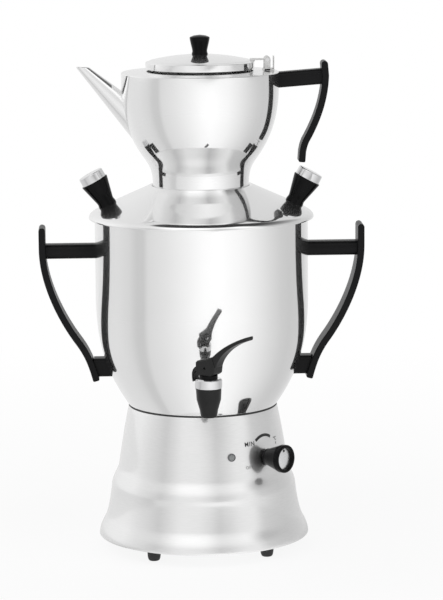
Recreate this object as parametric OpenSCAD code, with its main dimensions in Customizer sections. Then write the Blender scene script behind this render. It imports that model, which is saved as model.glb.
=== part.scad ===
// Electric samovar: a boiler tank on a waisted base, with a swivelling lever tap,
// a thermostat knob and a teapot that stands on the steam lid.
// Origin: on the tank's axis, on the surface it stands on. +Z up, tap towards -Y.

/* [Tank] */
// Outer radius of the tank's straight wall
tank_r = 102.3; // [90:0.1:115]
// Outer radius of the tank at its floor
tank_foot_r = 71.7; // [65:0.1:75]
// Height of the tank floor's underside
tank_floor_z = 142; // [135:0.5:150]
// Height where the curved lower wall becomes straight
tank_shoulder_z = 247; // [230:1:260]
// Height of the tank's rim
tank_rim_z = 327.9; // [320:0.1:340]
// Sheet thickness of the tank, the lid and the teapot
sheet = 1; // [0.6:0.1:1.4]
// Radius of the rolled wire edge at the rim
bead_r = 1.5; // [1:0.1:2]

/* [Tank lid] */
// Outer radius of the lid's brim
lid_r = 107.9; // [105:0.1:112]
// Depth of the brim below the lid's edge bend
lid_brim_h = 5; // [3:0.5:8]
// Height of the teapot's seat above the tank's rim
lid_rise = 23.6; // [18:0.1:30]
// Radius of the steam hole in the seat
steam_r = 28; // [15:0.5:35]
// Height of the ridge that keeps the teapot on its seat
seat_ridge = 2.6; // [1.5:0.1:4]
// Clearance of the lid's locating ring inside the tank
lid_ring_gap = 1.2; // [0.8:0.1:3]
// Depth of the locating ring below the tank's rim
lid_ring_h = 10; // [6:0.5:16]

/* [Lid knobs] */
// Distance of each knob's foot from the axis
knob_x = 89.6; // [85:0.1:92]
// Tilt of the knobs away from the axis, degrees
knob_tilt = 28.5; // [22:0.5:34]
// Length of the black knob body
knob_len = 26; // [22:0.5:27]
// Radius of the knob body under its cap
knob_top_r = 13.3; // [11:0.1:15]
// Radius of the knob's neck
knob_neck_r = 8.2; // [6:0.1:9.5]
// Radius of the knob's foot
knob_foot_r = 8.8; // [8.4:0.1:11]
// Radius of the chrome cap
cap_r = 12.6; // [10:0.1:13]
// Height of the chrome cap
cap_h = 8.2; // [6:0.1:11]

/* [Base] */
// Outer radius of the base at its bottom edge
base_r = 101.7; // [96:0.1:106]
// Height of the base's bottom edge
base_z = 14; // [12:0.5:18]
// Sheet thickness of the base shell
base_sheet = 1.2; // [0.8:0.1:1.6]
// Thickness of the seam ring between tank and base
seam_h = 1.4; // [1:0.1:2.5]
// Thickness of the bottom plate
plate_t = 1.5; // [1:0.1:2.5]

/* [Feet] */
// Radius of the circle that the feet stand on
foot_circle_r = 77; // [70:0.5:84]
// Angle of the first foot from the front, degrees
foot_angle = 49.5; // [35:0.5:60]
// Radius of a rubber foot
foot_r = 6.5; // [5:0.1:9]

/* [Side handles] */
// Distance of the grips' outer face from the axis
grip_x = 156; // [150:0.5:165]
// Thickness of the grip strap
grip_t = 6.4; // [5:0.1:9]
// Width of the grip strap
grip_w = 30; // [24:0.5:36]
// Height of the grips' lower end
grip_end_z = 165.4; // [160:0.1:168]
// Height of the handle arm's axis
arm_z = 291.6; // [285:0.1:296]
// Height of the grips' upper end above the handle arm's axis
grip_rise = 23.8; // [16:0.1:28]
// Height of the handle arm's section
arm_h = 14; // [10:0.1:18]
// Depth of the handle arm's section
arm_w = 20; // [14:0.1:26]
// Height of the lower lug's axis
lug_z = 178.4; // [176:0.1:182]
// Height of the lower lug's section
lug_h = 18; // [13:0.1:20]

/* [Tap] */
// Distance of the tap's upright axis from the tank's axis
tap_y = 153; // [146:0.5:160]
// Height of the tap's shank axis
tap_z = 175.4; // [173:0.1:178]
// Height of the spout's outlet
outlet_z = 157.9; // [154:0.1:161]
// Outer radius of the spout at its outlet
outlet_r = 7.3; // [6.5:0.1:8.5]
// Outer radius of the tap body at its top
tap_r = 11.65; // [11:0.05:13]
// Height of the tap body's top
tap_top_z = 184.9; // [183:0.1:188]
// Radius of the water way through outlet and shank
way_r = 4.6; // [3.5:0.1:5]
// Outer radius of the chrome bonnet
bonnet_r = 12.35; // [12:0.05:14]
// Height of the bonnet
bonnet_h = 9.3; // [8.5:0.1:11]
// Radius of the swivel washer on the bonnet
swivel_r = 8.4; // [7:0.1:9.5]
// Thickness of the swivel washer
swivel_h = 2.9; // [2:0.1:4]
// Radius of the valve stem
stem_r = 2.5; // [2:0.1:3]
// Outer radius of the shank
shank_r = 8.5; // [7.5:0.1:9]
// Radius of the shank's threaded end
thread_r = 7; // [6:0.1:7.2]
// Radius of the welded boss in the tank wall
boss_r = 10.5; // [10:0.1:12]

/* [Tap lever] */
// Direction of the lever from the front, degrees
lever_angle = 54; // [0:1:90]
// Reach of the lever from the tap's axis
lever_reach = 45; // [40:0.5:49]
// Height of the lever's tip above its pin
lever_rise = 32.5; // [26:0.5:38]
// Width of the lever's paddle
paddle_w = 13; // [10:0.5:16]
// Width of the lever's hub
hub_w = 15; // [13:0.1:17]
// Half length of the hub's rocking face
rock_half = 6.5; // [5:0.1:7]
// Height of the lever pin above the swivel washer
pin_rise = 7; // [6:0.1:8]
// Radius of the lever pin
pin_r = 1.5; // [1:0.1:1.8]

/* [Thermostat] */
// Direction of the thermostat knob from the front, degrees
dial_angle = 47; // [40:0.5:55]
// Height of the knob axis at the wall
dial_z = 98.4; // [94:0.1:104]
// Upward tilt of the knob axis, degrees
dial_tilt = 2; // [0:0.5:8]
// Distance of the knob's face from the wall
dial_len = 24.5; // [20:0.1:28]
// Radius of the knob's face
dial_r = 13.4; // [11:0.1:15]
// Radius of the knob at the wall
dial_root_r = 8.2; // [6.5:0.1:9]
// Radius of the aluminium insert in the face
insert_r = 10.25; // [8:0.05:11]
// Depth of the insert's face below the knob's rim
insert_sink = 3.2; // [0.3:0.1:4]
// Radius of the thermostat's shaft
shaft_r = 3; // [2.5:0.1:3.5]

/* [Pilot lamp] */
// Direction of the pilot lamp from the front, degrees
lamp_angle = 17.7; // [12:0.1:22]
// Upward tilt of the lamp's axis, degrees
lamp_tilt = 6; // [4:0.5:12]
// Height of the pilot lamp
lamp_z = 102.4; // [98:0.1:106]
// Radius of the lamp's bezel
lamp_r = 3.9; // [3.4:0.1:5]

/* [Heating] */
// Radius of the heating loop
heater_loop_r = 46; // [40:0.5:52]
// Radius of the heater's tube
heater_r = 4; // [3:0.1:4.5]
// Height of the loop above the tank floor
heater_h = 14; // [11:0.5:18]

/* [Cord gland] */
// Radius of the hole for the supply cord
cord_r = 3.6; // [3:0.1:4.2]
// Height of the cord gland
gland_z = 46; // [42:0.5:52]
// Outer radius of the gland's body
gland_r = 8; // [7:0.1:9]

/* [Teapot] */
// Outer radius of the teapot's wall
pot_r = 75.3; // [70:0.1:78]
// Outer radius of the teapot's foot
pot_foot_r = 46.1; // [44:0.1:46.3]
// Height of the teapot's rim above its seat
pot_h = 110.5; // [98:0.5:120]
// Width of the deck between the collar and the wall
deck_w = 26.9; // [24:0.1:29]
// Height of the collar above the teapot's deck
collar_h = 6.6; // [5:0.1:8]
// Rise of the deck from the rim to the collar
deck_rise = 2.1; // [1:0.1:3]

/* [Teapot spout] */
// Distance of the spout cone's apex from the axis
spout_apex_x = 133.9; // [128:0.1:138]
// Height of the spout cone's apex above the teapot's rim
spout_apex_rise = 26.5; // [22:0.1:30]
// Fall of the spout's axis, degrees
spout_fall = 44.6; // [43:0.1:46]
// Half angle of the spout's cone, degrees
spout_half = 8; // [7:0.1:8.5]
// Height of the spout's level mouth above the teapot's rim
mouth_rise = 5.4; // [3:0.1:8]
// Radius of a strainer hole
strainer_r = 2.2; // [1.5:0.1:2.4]

/* [Teapot handle] */
// Distance of the grip's outer face from the axis
pot_grip_x = 122.5; // [118:0.1:126]
// Thickness of the teapot's grip strap
pot_grip_t = 6.4; // [5:0.1:8]
// Width of the teapot's grip strap
pot_grip_w = 22; // [18:0.5:26]
// Height of the upper end of the grip above the teapot's rim
pot_grip_rise = 9.8; // [8:0.1:14]
// Height of the grip from its free lower end to its upper end
pot_grip_h = 96.8; // [88:0.1:100]
// Height of the teapot handle arm's section
pot_arm_h = 15; // [12:0.1:18]
// Depth of the teapot handle arm's section
pot_arm_w = 17; // [13:0.1:20]

/* [Teapot lid] */
// Reach of the lid's brim past the collar
pot_brim_out = 3.4; // [2.5:0.1:4.5]
// Height of the lid's dome above its brim
dome_h = 7; // [4:0.1:10]
// Clearance of the lid's skirt inside the collar
pot_skirt_gap = 1.2; // [1:0.1:2]
// Depth of the lid's skirt
pot_skirt_h = 6; // [4:0.1:7]
// Height of the lid's knob
pot_knob_h = 16.5; // [12:0.1:20]
// Radius of the knob's top
pot_knob_r = 9.6; // [8:0.1:12]

/* [Teapot hinge] */
// Distance of the hinge pin inside the teapot's wall
hinge_in = 11.3; // [10.5:0.1:12]
// Height of the hinge pin above the collar
hinge_rise = 2.7; // [2.5:0.1:4]
// Radius of the hinge pin
hinge_pin_r = 1.25; // [1:0.05:1.5]
// Outer radius of the hinge knuckle
knuckle_r = 3; // [2.5:0.1:3.4]
// Width of the hinge knuckle
knuckle_w = 11.6; // [9:0.1:14]
// Distance of the stop blade from the pin
stop_gap = 5.8; // [5.2:0.1:7]

/* [Hidden] */
$fn = 48;
// Gap between curved faces of pieces that move apart
gap = 0.3;
// Radial play of a pin in the piece that turns on it
play = 0.05;
// Depth by which a cutter passes the face that it opens
over = 1;
tank_in_r = tank_r - sheet;
pin_z = tap_top_z + bonnet_h + swivel_h + pin_rise;
collar_r = pot_r - deck_w;
pot_lid_r = collar_r + pot_brim_out;
hinge_x = pot_r - hinge_in;
seat_z = tank_rim_z + lid_rise;
pot_rim_z = seat_z + pot_h;
collar_top_z = pot_rim_z + deck_rise + collar_h;
spout_apex_z = pot_rim_z + spout_apex_rise;
mouth_z = pot_rim_z + mouth_rise;
pot_grip_top_z = pot_rim_z + pot_grip_rise;
pot_grip_end_z = pot_grip_top_z - pot_grip_h;
hinge_z = collar_top_z + hinge_rise;
pot_in_r = collar_r - sheet;
boss_in_y = 84;
boss_out_y = 97;
shoulder_t = 3;
tap_gasket_t = 1.5;
chamber_r = 7.5;
seat_cup_h = 6;
chamber_z = tap_z - way_r - 0.8;
loop_z = tank_floor_z + sheet + heater_h;
cold_r = heater_r + 0.6;
leg_turn = 30;
rod_circle_r = 30;
rod_r = 2.5;
plate_z = base_z + 2;
shield_z = tank_floor_z - 26;
shield_r = tank_foot_r - 9.7;

// Points along a cubic Bezier curve from a to d.
function bez(a, b, c, d, n = 10) = [for (i = [0:n]) let (t = i / n)
    pow(1 - t, 3) * a + 3 * t * pow(1 - t, 2) * b + 3 * t * t * (1 - t) * c + pow(t, 3) * d];

// A path without its first point, to join it to the path before it.
function rest(path) = [for (i = [1:len(path) - 1]) path[i]];

// A path in the other direction.
function back(path) = [for (i = [len(path) - 1:-1:0]) path[i]];

// Unit normal at point i of a path, to its right-hand side.
function side(path, i) = let (d = path[min(i + 1, len(path) - 1)] - path[max(i - 1, 0)])
    [d[1], -d[0]] / norm(d);

// A path moved sideways by w, to its right-hand side where w is positive.
function shift(path, w) = [for (i = [0:len(path) - 1]) path[i] + w * side(path, i)];

// Curve from the tank's foot up to its straight wall.
tank_curve = bez([tank_foot_r, tank_floor_z], [tank_foot_r + 21.3, tank_floor_z + 30.5],
    [tank_r, tank_shoulder_z - 45], [tank_r, tank_shoulder_z], 14);

// Wavy outer side of the base, from its bottom edge up to the tank's foot.
base_curve = let (foot = [base_r, base_z], waist = [tank_foot_r, tank_floor_z - seam_h],
    low = [base_r - 7, base_z + 19], mid = [base_r - 12.5, base_z + 48.4],
    high = [base_r - 19.5, base_z + 68])
    concat(bez(foot, foot + [-0.4, 8], low + [2.6, -6.5], low, 8),
        rest(bez(low, low + [-1.8, 5], mid + [0.9, -11], mid, 6)),
        rest(bez(mid, mid + [-0.7, 8], high + [1, -6], high, 8)),
        rest(bez(high, high + [-1.9, 10], waist + [5.4, -24], waist, 8)));

// Top side of the lid, from the steam hole out to the brim's edge.
lid_edge = [lid_r - 3.4, tank_rim_z + 0.85];
lid_curve = let (ridge = pot_foot_r + 2.6, crest = seat_z + seat_ridge)
    concat([[steam_r, seat_z - 7], [steam_r, seat_z - 1], [steam_r + 1, seat_z],
        [pot_foot_r + gap, seat_z]],
        bez([ridge - 1.6, crest - 0.4], [ridge - 0.6, crest], [ridge + 0.4, crest],
            [ridge + 1.4, crest - 0.4], 3),
        bez([ridge + 3, crest - 1.2], [62, crest - 6], [85, crest - 16.1], lid_edge, 12),
        bez(lid_edge + [1.6, -1], [lid_r - 0.4, lid_edge[1] - 2.4], [lid_r, lid_edge[1] - 3.5],
            [lid_r, lid_edge[1] - lid_brim_h], 5));

// Height of the lid's top side at a distance from the axis.
function lid_z_at(r) = lookup(r, lid_curve);
knob_z = lid_z_at(knob_x);

// Wall of the teapot from its foot to its widest part.
pot_knee = [57.5, seat_z + 33.5];
pot_curve = concat([[pot_foot_r, seat_z]],
    bez([pot_foot_r, seat_z + 4.5], [pot_foot_r + 0.2, seat_z + 20.5], pot_knee + [-6, -9.2],
        pot_knee, 8),
    rest(bez(pot_knee, pot_knee + [10, 15.5], [pot_r, pot_rim_z - 42],
        [pot_r, pot_rim_z - 12], 12)));

// Radius of a wall path at a height.
function r_at(path, z) = lookup(z, [for (p = path) [p[1], p[0]]]);

// Slope of a wall path at a height, degrees from upright.
function lean(path, z) = atan2(r_at(path, z + 1) - r_at(path, z - 1), 2);

// Rounded rectangle centred on the origin.
module round_rect(w, h, r) {
    square([w - 2 * r, h], center = true);
    square([w, h - 2 * r], center = true);
    for (x = [-1, 1], y = [-1, 1])
        translate([x * (w / 2 - r), y * (h / 2 - r)]) circle(r);
}

// Tube between two heights.
module tube(r_out, r_in, h) {
    difference() {
        cylinder(r = r_out, h = h);
        translate([0, 0, -over]) cylinder(r = r_in, h = h + 2 * over);
    }
}

// Hexagon of a given width across its flats.
module hex(flats, h) { cylinder(r = flats / sqrt(3), h = h, $fn = 6); }

// Hexagon nut with its hole.
module nut(flats, hole_r, h) {
    difference() {
        hex(flats, h);
        translate([0, 0, -over]) cylinder(r = hole_r, h = h + 2 * over);
    }
}

// Round bar between two points.
module bar(a, b, r) {
    d = b - a;
    translate(a) rotate([0, acos(d[2] / norm(d)), atan2(d[1], d[0])])
        cylinder(r = r, h = norm(d));
}

// Round bar through a list of points. Every second length is a little thicker and they overlap.
module bent_bar(points, r) {
    last = len(points) - 2;
    for (i = [0:last]) let (d = (points[i + 1] - points[i]) / norm(points[i + 1] - points[i]))
        bar(points[i] - (i > 0 ? r : 0) * d, points[i + 1] + (i < last ? r : 0) * d,
            i % 2 == 1 ? r * 1.08 : r);
}

// Places children on the wall in a direction from the front: +Z points outwards.
module on_wall(angle, r, z, tilt = 0) {
    rotate([0, 0, angle]) translate([0, -r, z]) rotate([90 - tilt, 0, 0]) children();
}

// The four places of the feet.
module at_feet() {
    for (i = [0:3]) rotate([0, 0, foot_angle + 90 * i]) translate([0, -foot_circle_r, 0]) children();
}

// The three places of the tie rods.
module at_rods() {
    for (i = [0:2]) rotate([0, 0, 60 + 120 * i]) translate([0, -rod_circle_r, 0]) children();
}

// Solid of revolution inside a side path, closed along the axis.
module turned(path) {
    rotate_extrude() polygon(concat([[0, path[0][1]]], path, [[0, path[len(path) - 1][1]]]));
}

// Everything inside the tank's outer side.
module tank_form() { turned(concat(tank_curve, [[tank_r, tank_rim_z]])); }

// Everything inside the teapot's outer side.
module pot_form() { turned(concat(pot_curve, [[pot_r, pot_rim_z]])); }

// Everything under the lid's top side, or under its sheet where drop is the sheet.
module under_lid(drop = 0) {
    path = shift(lid_curve, drop);
    rotate_extrude() polygon(concat([[0, tank_rim_z - 30]], [[0, path[0][1]]], path,
        [[path[len(path) - 1][0], tank_rim_z - 30]]));
}

// ---- Base ----

module base_shell() {
    inner = shift(base_curve, -base_sheet);
    lip_r = 8;
    color("silver") difference() {
        rotate_extrude() polygon(concat(base_curve,
            [[tank_foot_r - 4, tank_floor_z - seam_h],
             [tank_foot_r - 4, tank_floor_z - seam_h - base_sheet]],
            [for (p = back(inner)) if (p[1] < tank_floor_z - seam_h - base_sheet
                && p[1] > base_z + base_sheet) p],
            [[base_r - base_sheet - 0.2, base_z + base_sheet],
             [base_r - lip_r, base_z + base_sheet], [base_r - lip_r, base_z]]));
        on_wall(dial_angle, r_at(base_curve, dial_z), dial_z, dial_tilt)
            translate([0, 0, -10]) cylinder(r = shaft_r + 1.2, h = 20);
        on_wall(lamp_angle, r_at(base_curve, lamp_z), lamp_z, lamp_tilt)
            translate([0, 0, -10]) cylinder(r = lamp_r - 0.6, h = 20);
        at_gland() translate([0, 0, -10]) cylinder(r = gland_r - 1.5 + play, h = 20);
    }
}

module bottom_plate() {
    vents = 5;
    vent_w = 4;
    vent_l = 22;
    color("gray") difference() {
        translate([0, 0, base_z + base_sheet])
            cylinder(r = r_at(base_curve, base_z + 4) - base_sheet - 1, h = plate_t);
        for (x = [-1, 1], i = [0:vents - 1])
            translate([x * 45, (i - (vents - 1) / 2) * 10, base_z])
                linear_extrude(height = 8) round_rect(vent_l, vent_w, 1.9);
        at_feet() cylinder(r = 2, h = base_z + 10);
        at_rods() cylinder(r = rod_r + 0.2, h = base_z + 10);
    }
}

// Socket in a foot's underside for a push-in glide: its lip, and the room behind for the screw.
foot_hole_r = 3.8;
foot_lip_h = 3;
foot_hole_h = 9;

module rubber_feet() {
    dome = 1.5;
    color("#1c1c1c") at_feet() difference() {
        rotate_extrude() polygon(concat([[0, 0], [foot_r - dome, 0]],
            [for (a = [15:15:90]) [foot_r - dome + dome * sin(a), dome - dome * cos(a)]],
            [[foot_r, base_z + base_sheet], [0, base_z + base_sheet]]));
        translate([0, 0, -over]) cylinder(r = foot_hole_r, h = foot_lip_h + 2 * over);
        translate([0, 0, foot_lip_h]) cylinder(r = foot_hole_r + 0.8, h = foot_hole_h - foot_lip_h);
        cylinder(r = 2, h = base_z + 10);
    }
}

module foot_screws() {
    head_h = 2.2;
    color("silver") at_feet() {
        translate([0, 0, foot_hole_h - head_h]) cylinder(r = foot_hole_r - 0.2, h = head_h);
        translate([0, 0, foot_hole_h])
            cylinder(r = 1.95, h = base_z + base_sheet + plate_t - foot_hole_h);
        translate([0, 0, base_z + base_sheet + plate_t]) hex(7, 3);
    }
}

module seam_ring() {
    color("#202020") translate([0, 0, tank_floor_z - seam_h])
        tube(tank_foot_r + 0.1, tank_foot_r - 4, seam_h);
}

// ---- Tank ----

module tank_shell() {
    inner = shift(tank_curve, -sheet);
    floor_top = tank_floor_z + sheet;
    color("#e8e8e8") difference() {
        union() {
            tank_form();
            translate([0, 0, tank_rim_z - bead_r]) rotate_extrude()
                translate([tank_r + 0.4, 0]) circle(bead_r);
        }
        rotate_extrude() polygon(concat([[0, floor_top], [r_at(inner, floor_top), floor_top]],
            [for (p = inner) if (p[1] > floor_top) p],
            [[tank_in_r, tank_rim_z + over * 3], [0, tank_rim_z + over * 3]]));
        on_wall(0, boss_in_y - 20, tap_z) cylinder(r = boss_r, h = 60);
        at_handle_screws() translate([0, 0, -5]) cylinder(r = 2.6, h = 20);
        at_element_legs() translate([0, 0, tank_floor_z - 5]) cylinder(r = cold_r + 2, h = 10);
    }
}

module at_element_legs() {
    for (s = [-1, 1]) rotate([0, 0, 180 + s * leg_turn])
        translate([0, -heater_loop_r, 0]) children();
}

module tie_rods() {
    color("silver") at_rods() translate([0, 0, plate_z - 7.5])
        cylinder(r = rod_r, h = tank_floor_z - plate_z + 7.5);
}

module tie_nuts() {
    color("silver") at_rods() {
        translate([0, 0, base_z + base_sheet - 3.5]) nut(8, rod_r, 3.5);
        translate([0, 0, shield_z - 3.5]) nut(8, rod_r, 3.5);
        translate([0, 0, shield_z + 0.8]) nut(8, rod_r, 3.5);
    }
}

module heat_shield() {
    color("lightgray") difference() {
        union() {
            translate([0, 0, shield_z]) cylinder(r = shield_r, h = 0.8);
            translate([0, 0, shield_z]) tube(shield_r, shield_r - 1, 8);
        }
        at_rods() translate([0, 0, shield_z - 5]) cylinder(r = rod_r, h = 10);
        at_element_legs() translate([0, 0, shield_z - 5]) cylinder(r = cold_r + 5, h = 10);
        translate([0, 0, shield_z - 5]) cylinder(r = 12, h = 10);
    }
}

module heating_element() {
    sweep = 360 - 2 * leg_turn;
    color("#707070") {
        rotate([0, 0, 90 + leg_turn]) translate([0, 0, loop_z])
            rotate_extrude(angle = sweep) translate([heater_loop_r, 0]) circle(heater_r);
        at_element_legs() {
            translate([0, 0, tank_floor_z - 22]) cylinder(r = cold_r, h = loop_z - tank_floor_z + 27);
            translate([0, 0, tank_floor_z - 30]) cylinder(r = 1.5, h = 9);
        }
    }
}

module element_seals() {
    color("#303030") at_element_legs() {
        translate([0, 0, tank_floor_z + sheet]) tube(cold_r + 5, cold_r, 2);
        translate([0, 0, tank_floor_z]) tube(cold_r + 2, cold_r, sheet);
    }
}

module element_nuts() {
    color("#c9a64a") at_element_legs() {
        translate([0, 0, tank_floor_z - 6]) nut(17, cold_r, 6);
        translate([0, 0, tank_floor_z + sheet + 2]) tube(cold_r + 5, cold_r, 1.5);
    }
}

cutout_h = 7.5;

module thermal_cutout() {
    color("#d8d0c0") translate([0, 0, tank_floor_z - cutout_h]) {
        cylinder(r = 8, h = cutout_h);
        for (x = [-1, 1]) translate([x * 4 - 0.4, -3, -7]) cube([0.8, 6, 8]);
    }
}

module cutout_clip() {
    t = 0.8;
    l = 28;
    w = 15;
    low = tank_floor_z - cutout_h - t;
    color("silver") difference() {
        translate([-l / 2, -w / 2, low]) cube([l, w, cutout_h + t]);
        translate([-l / 2 + t, -w / 2 - over, low + t]) cube([l - 2 * t, w + 2 * over, cutout_h + over]);
        translate([0, 0, low - over]) cylinder(r = 5.8, h = 4);
    }
}

// ---- Thermostat, lamp, wiring and cord gland in the base ----

// Everything inside the base shell's inner side.
module base_inside() { turned(shift(base_curve, -base_sheet)); }

module at_dial() {
    on_wall(dial_angle, r_at(base_curve, dial_z), dial_z, dial_tilt) children();
}

module at_lamp() {
    on_wall(lamp_angle, r_at(base_curve, lamp_z), lamp_z, lamp_tilt) children();
}

module at_gland() {
    on_wall(180, r_at(base_curve, gland_z), gland_z, -lean(base_curve, gland_z)) children();
}

// Depths behind the wall, along the knob's axis.
bracket_d = 15;
bush_d = 9;
bush_r = 5;
// Half the height of the thermostat's body.
body_half_h = 12;

module thermostat_bracket() {
    w = 36;
    t = 1.2;
    color("lightgray") intersection() {
        base_inside();
        at_dial() difference() {
            union() {
                translate([-w / 2, -13, -bracket_d]) cube([w, 26, t]);
                for (x = [-w / 2, w / 2 - t]) translate([x, -13, -bracket_d]) cube([t, 26, bracket_d]);
            }
            translate([0, 0, -bracket_d - over]) cylinder(r = bush_r, h = 4);
        }
    }
}

module thermostat_body() {
    depth = 18;
    color("#efe9dc") at_dial() difference() {
        union() {
            translate([-15, -body_half_h, -bracket_d - depth]) cube([30, 2 * body_half_h, depth]);
            translate([0, 0, -bracket_d - over]) cylinder(r = bush_r, h = bracket_d - bush_d + over);
            for (x = [-9, 0, 9])
                translate([x - 3, -0.4, -bracket_d - depth - 7]) cube([6, 0.8, 7 + over]);
        }
        translate([0, 0, -bracket_d - depth + 3]) cylinder(r = shaft_r + play, h = 40);
    }
}

module thermostat_nut() {
    color("#c9a64a") at_dial() translate([0, 0, -bracket_d + 1.2]) nut(14, bush_r, 2.4);
}

module thermostat_shaft() {
    color("silver") at_dial() translate([0, 0, -bracket_d - 14]) cylinder(r = shaft_r,
        h = bracket_d + 14 + dial_len - dial_skin);
}

module capillary_tube() {
    top = tank_floor_z - 2.8;
    out = [sin(dial_angle), -cos(dial_angle), 0];
    depth = bracket_d + 9;
    top_z = dial_z + body_half_h * cos(dial_tilt) - depth * sin(dial_tilt);
    a = out * (r_at(base_curve, dial_z) - depth) + [0, 0, top_z + 1.3];
    b = out * (shield_r + 4) + [0, 0, shield_z - 4];
    c = [b[0], b[1], top - 6];
    d = out * (shield_r - 4) + [0, 0, top];
    color("#b87333") {
        bent_bar([a, b, c, d, out * (shield_r - 18) + [0, 0, top]], 0.9);
        bar(out * (shield_r - 17) + [0, 0, top], out * (shield_r - 42) + [0, 0, top], 2.5);
    }
}

block_at = [-30, base_r - 83.7];
block_size = [44, 18, 15];
block_pitch = 9;
deck_z = base_z + base_sheet + plate_t;

module terminal_block() {
    color("#f2efe6") translate([block_at[0] - block_size[0] / 2, block_at[1], deck_z]) difference() {
        cube(block_size);
        for (i = [0:3]) translate([block_size[0] / 2 + (i - 1.5) * block_pitch, 0, 0]) {
            translate([0, -over, 8]) rotate([-90, 0, 0]) cylinder(r = 1.5, h = block_size[1] + 2 * over);
            for (y = [5, block_size[1] - 5]) translate([0, y, 8]) cylinder(r = 2.2, h = 10);
        }
    }
}

// Height and place of the terminal block's wire entries.
function entry(i, front) = [block_at[0] + (i - 1.5) * block_pitch,
    block_at[1] + (front ? 0 : block_size[1]), deck_z + 8];

earth_at = [20, base_r - 49.7];

module earth_stud() {
    color("#c9a64a") translate([earth_at[0], earth_at[1], deck_z]) {
        cylinder(r = 2, h = 14);
        tube(3.6, 2, 0.8);
        translate([0, 0, 0.8]) nut(7, 2, 3);
        translate([0, 0, 5.2]) nut(7, 2, 3);
    }
}

module wiring() {
    wire_r = 1.3;
    cord_in = r_at(base_curve, gland_z) - 20;
    leg = [heater_loop_r * sin(leg_turn), heater_loop_r * cos(leg_turn), tank_floor_z - 30];
    lamp = [sin(lamp_angle), -cos(lamp_angle), 0];
    dial = [sin(dial_angle), -cos(dial_angle), 0];
    dial_in = dial * (r_at(base_curve, dial_z) - bracket_d - 32) + [0, 0, dial_z - 6];
    color("#8a3b2a") bent_bar([[-2.5, cord_in, gland_z - 4], [-2.5, cord_in - 6, 36],
        [entry(2, false)[0], cord_in - 22, 26], entry(2, false) + [0, 5, 0], entry(2, false)], wire_r);
    color("#2a4f8a") bent_bar([[2.5, cord_in, gland_z - 4], [2.5, cord_in - 4, 34],
        [entry(3, false)[0] + 2, cord_in - 20, 28], entry(3, false) + [0, 5, 0], entry(3, false)], wire_r);
    color("#5a8a2a") bent_bar([[6, cord_in, gland_z - 4], [8, cord_in - 8, 34],
        [earth_at[0] - 3.7, earth_at[1] + 4.3, deck_z + 4.5]], wire_r);
    color("#2a4f8a") bent_bar([leg + [0, 0, 0], leg + [0, 0, -14], [-10, 42, 60],
        [entry(3, true)[0], 6, 32], entry(3, true) + [0, -5, 0], entry(3, true)], wire_r);
    color("#8a3b2a") bent_bar([[-leg[0], leg[1], leg[2]], [-leg[0], leg[1], leg[2] - 14],
        [-24, 10, 70], dial_in + [-8, 8, -18], dial_in + [0, 0, -2], dial_in], wire_r);
    color("#8a3b2a") bent_bar([entry(2, true), entry(2, true) + [0, -5, 0], [-10, -20, 40],
        dial_in + [-4, 0, -34], dial_in + [-6, -4, 0]], wire_r);
    color("#cfcfcf") bent_bar([entry(1, true), entry(1, true) + [0, -5, 0],
        lamp * 40 + [-10, 0, 60], lamp * 48 + [-2, 0, lamp_z - 8],
        lamp * (r_at(base_curve, lamp_z) - 19) + [0, 0, lamp_z - 2]], wire_r);
}

module cord_gland() {
    seat = 0.5;
    color("#1a1a1a") at_gland() difference() {
        union() {
            rotate_extrude() polygon([[0, seat], [gland_r + 3, seat], [gland_r + 3, 3], [gland_r, 4.5],
                [gland_r - 1.2, 14], [gland_r - 2, 15], [0, 15]]);
            translate([0, 0, -16]) cylinder(r = gland_r - 1.5, h = 17);
        }
        translate([0, 0, -17]) cylinder(r = cord_r, h = 40);
    }
}

module gland_nut() {
    color("#1a1a1a") at_gland() translate([0, 0, -base_sheet - 5.5]) nut(19, gland_r - 1.5, 4.5);
}

module lamp_lens() {
    lens_r = lamp_r - 1;
    color("#cfd6d6") at_lamp() rotate_extrude() polygon(concat([[0, -6], [lens_r, -6]],
        [for (a = [0:15:75]) [lens_r * cos(a), 1.6 + 1.2 * sin(a)]], [[0, 2.8]]));
}

module lamp_body() {
    color("silver") at_lamp() rotate_extrude() polygon([[0, -16], [lamp_r - 0.6, -16],
        [lamp_r - 0.6, gap / 2], [lamp_r, gap / 2], [lamp_r, 0.9], [lamp_r - 0.3, 1.3],
        [lamp_r - 1, 1.3], [lamp_r - 1, -6], [0, -6]]);
}

// ---- Side handles ----

module at_handle_screws() {
    in_r = r_at(tank_curve, lug_z) - sheet;
    for (s = [-1, 1]) {
        on_wall(90 * s, tank_in_r, arm_z) children();
        on_wall(90 * s, in_r, lug_z, -lean(tank_curve, lug_z)) children();
    }
}

// Outer side of a grip, from its top down to its free end.
grip_curve = let (elbow = [grip_x - 34.5, grip_end_z + 36.6])
    concat([[grip_x, arm_z + grip_rise - 3]],
        bez([grip_x, arm_z + 3.4], [grip_x, arm_z - 29.6], elbow + [17.5, 24], elbow, 12),
        rest(bez(elbow, elbow + [-7.5, -10.5], [grip_x - 46, grip_end_z + 16.6],
            [grip_x - 50.3, grip_end_z], 8)));

// Cross-section of a strap between its outer side and its thickness.
module strap(outer, t) {
    inner = shift(outer, t);
    polygon(concat(outer, back(inner)));
    translate((outer[0] + inner[0]) / 2) circle(t / 2);
}

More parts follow.
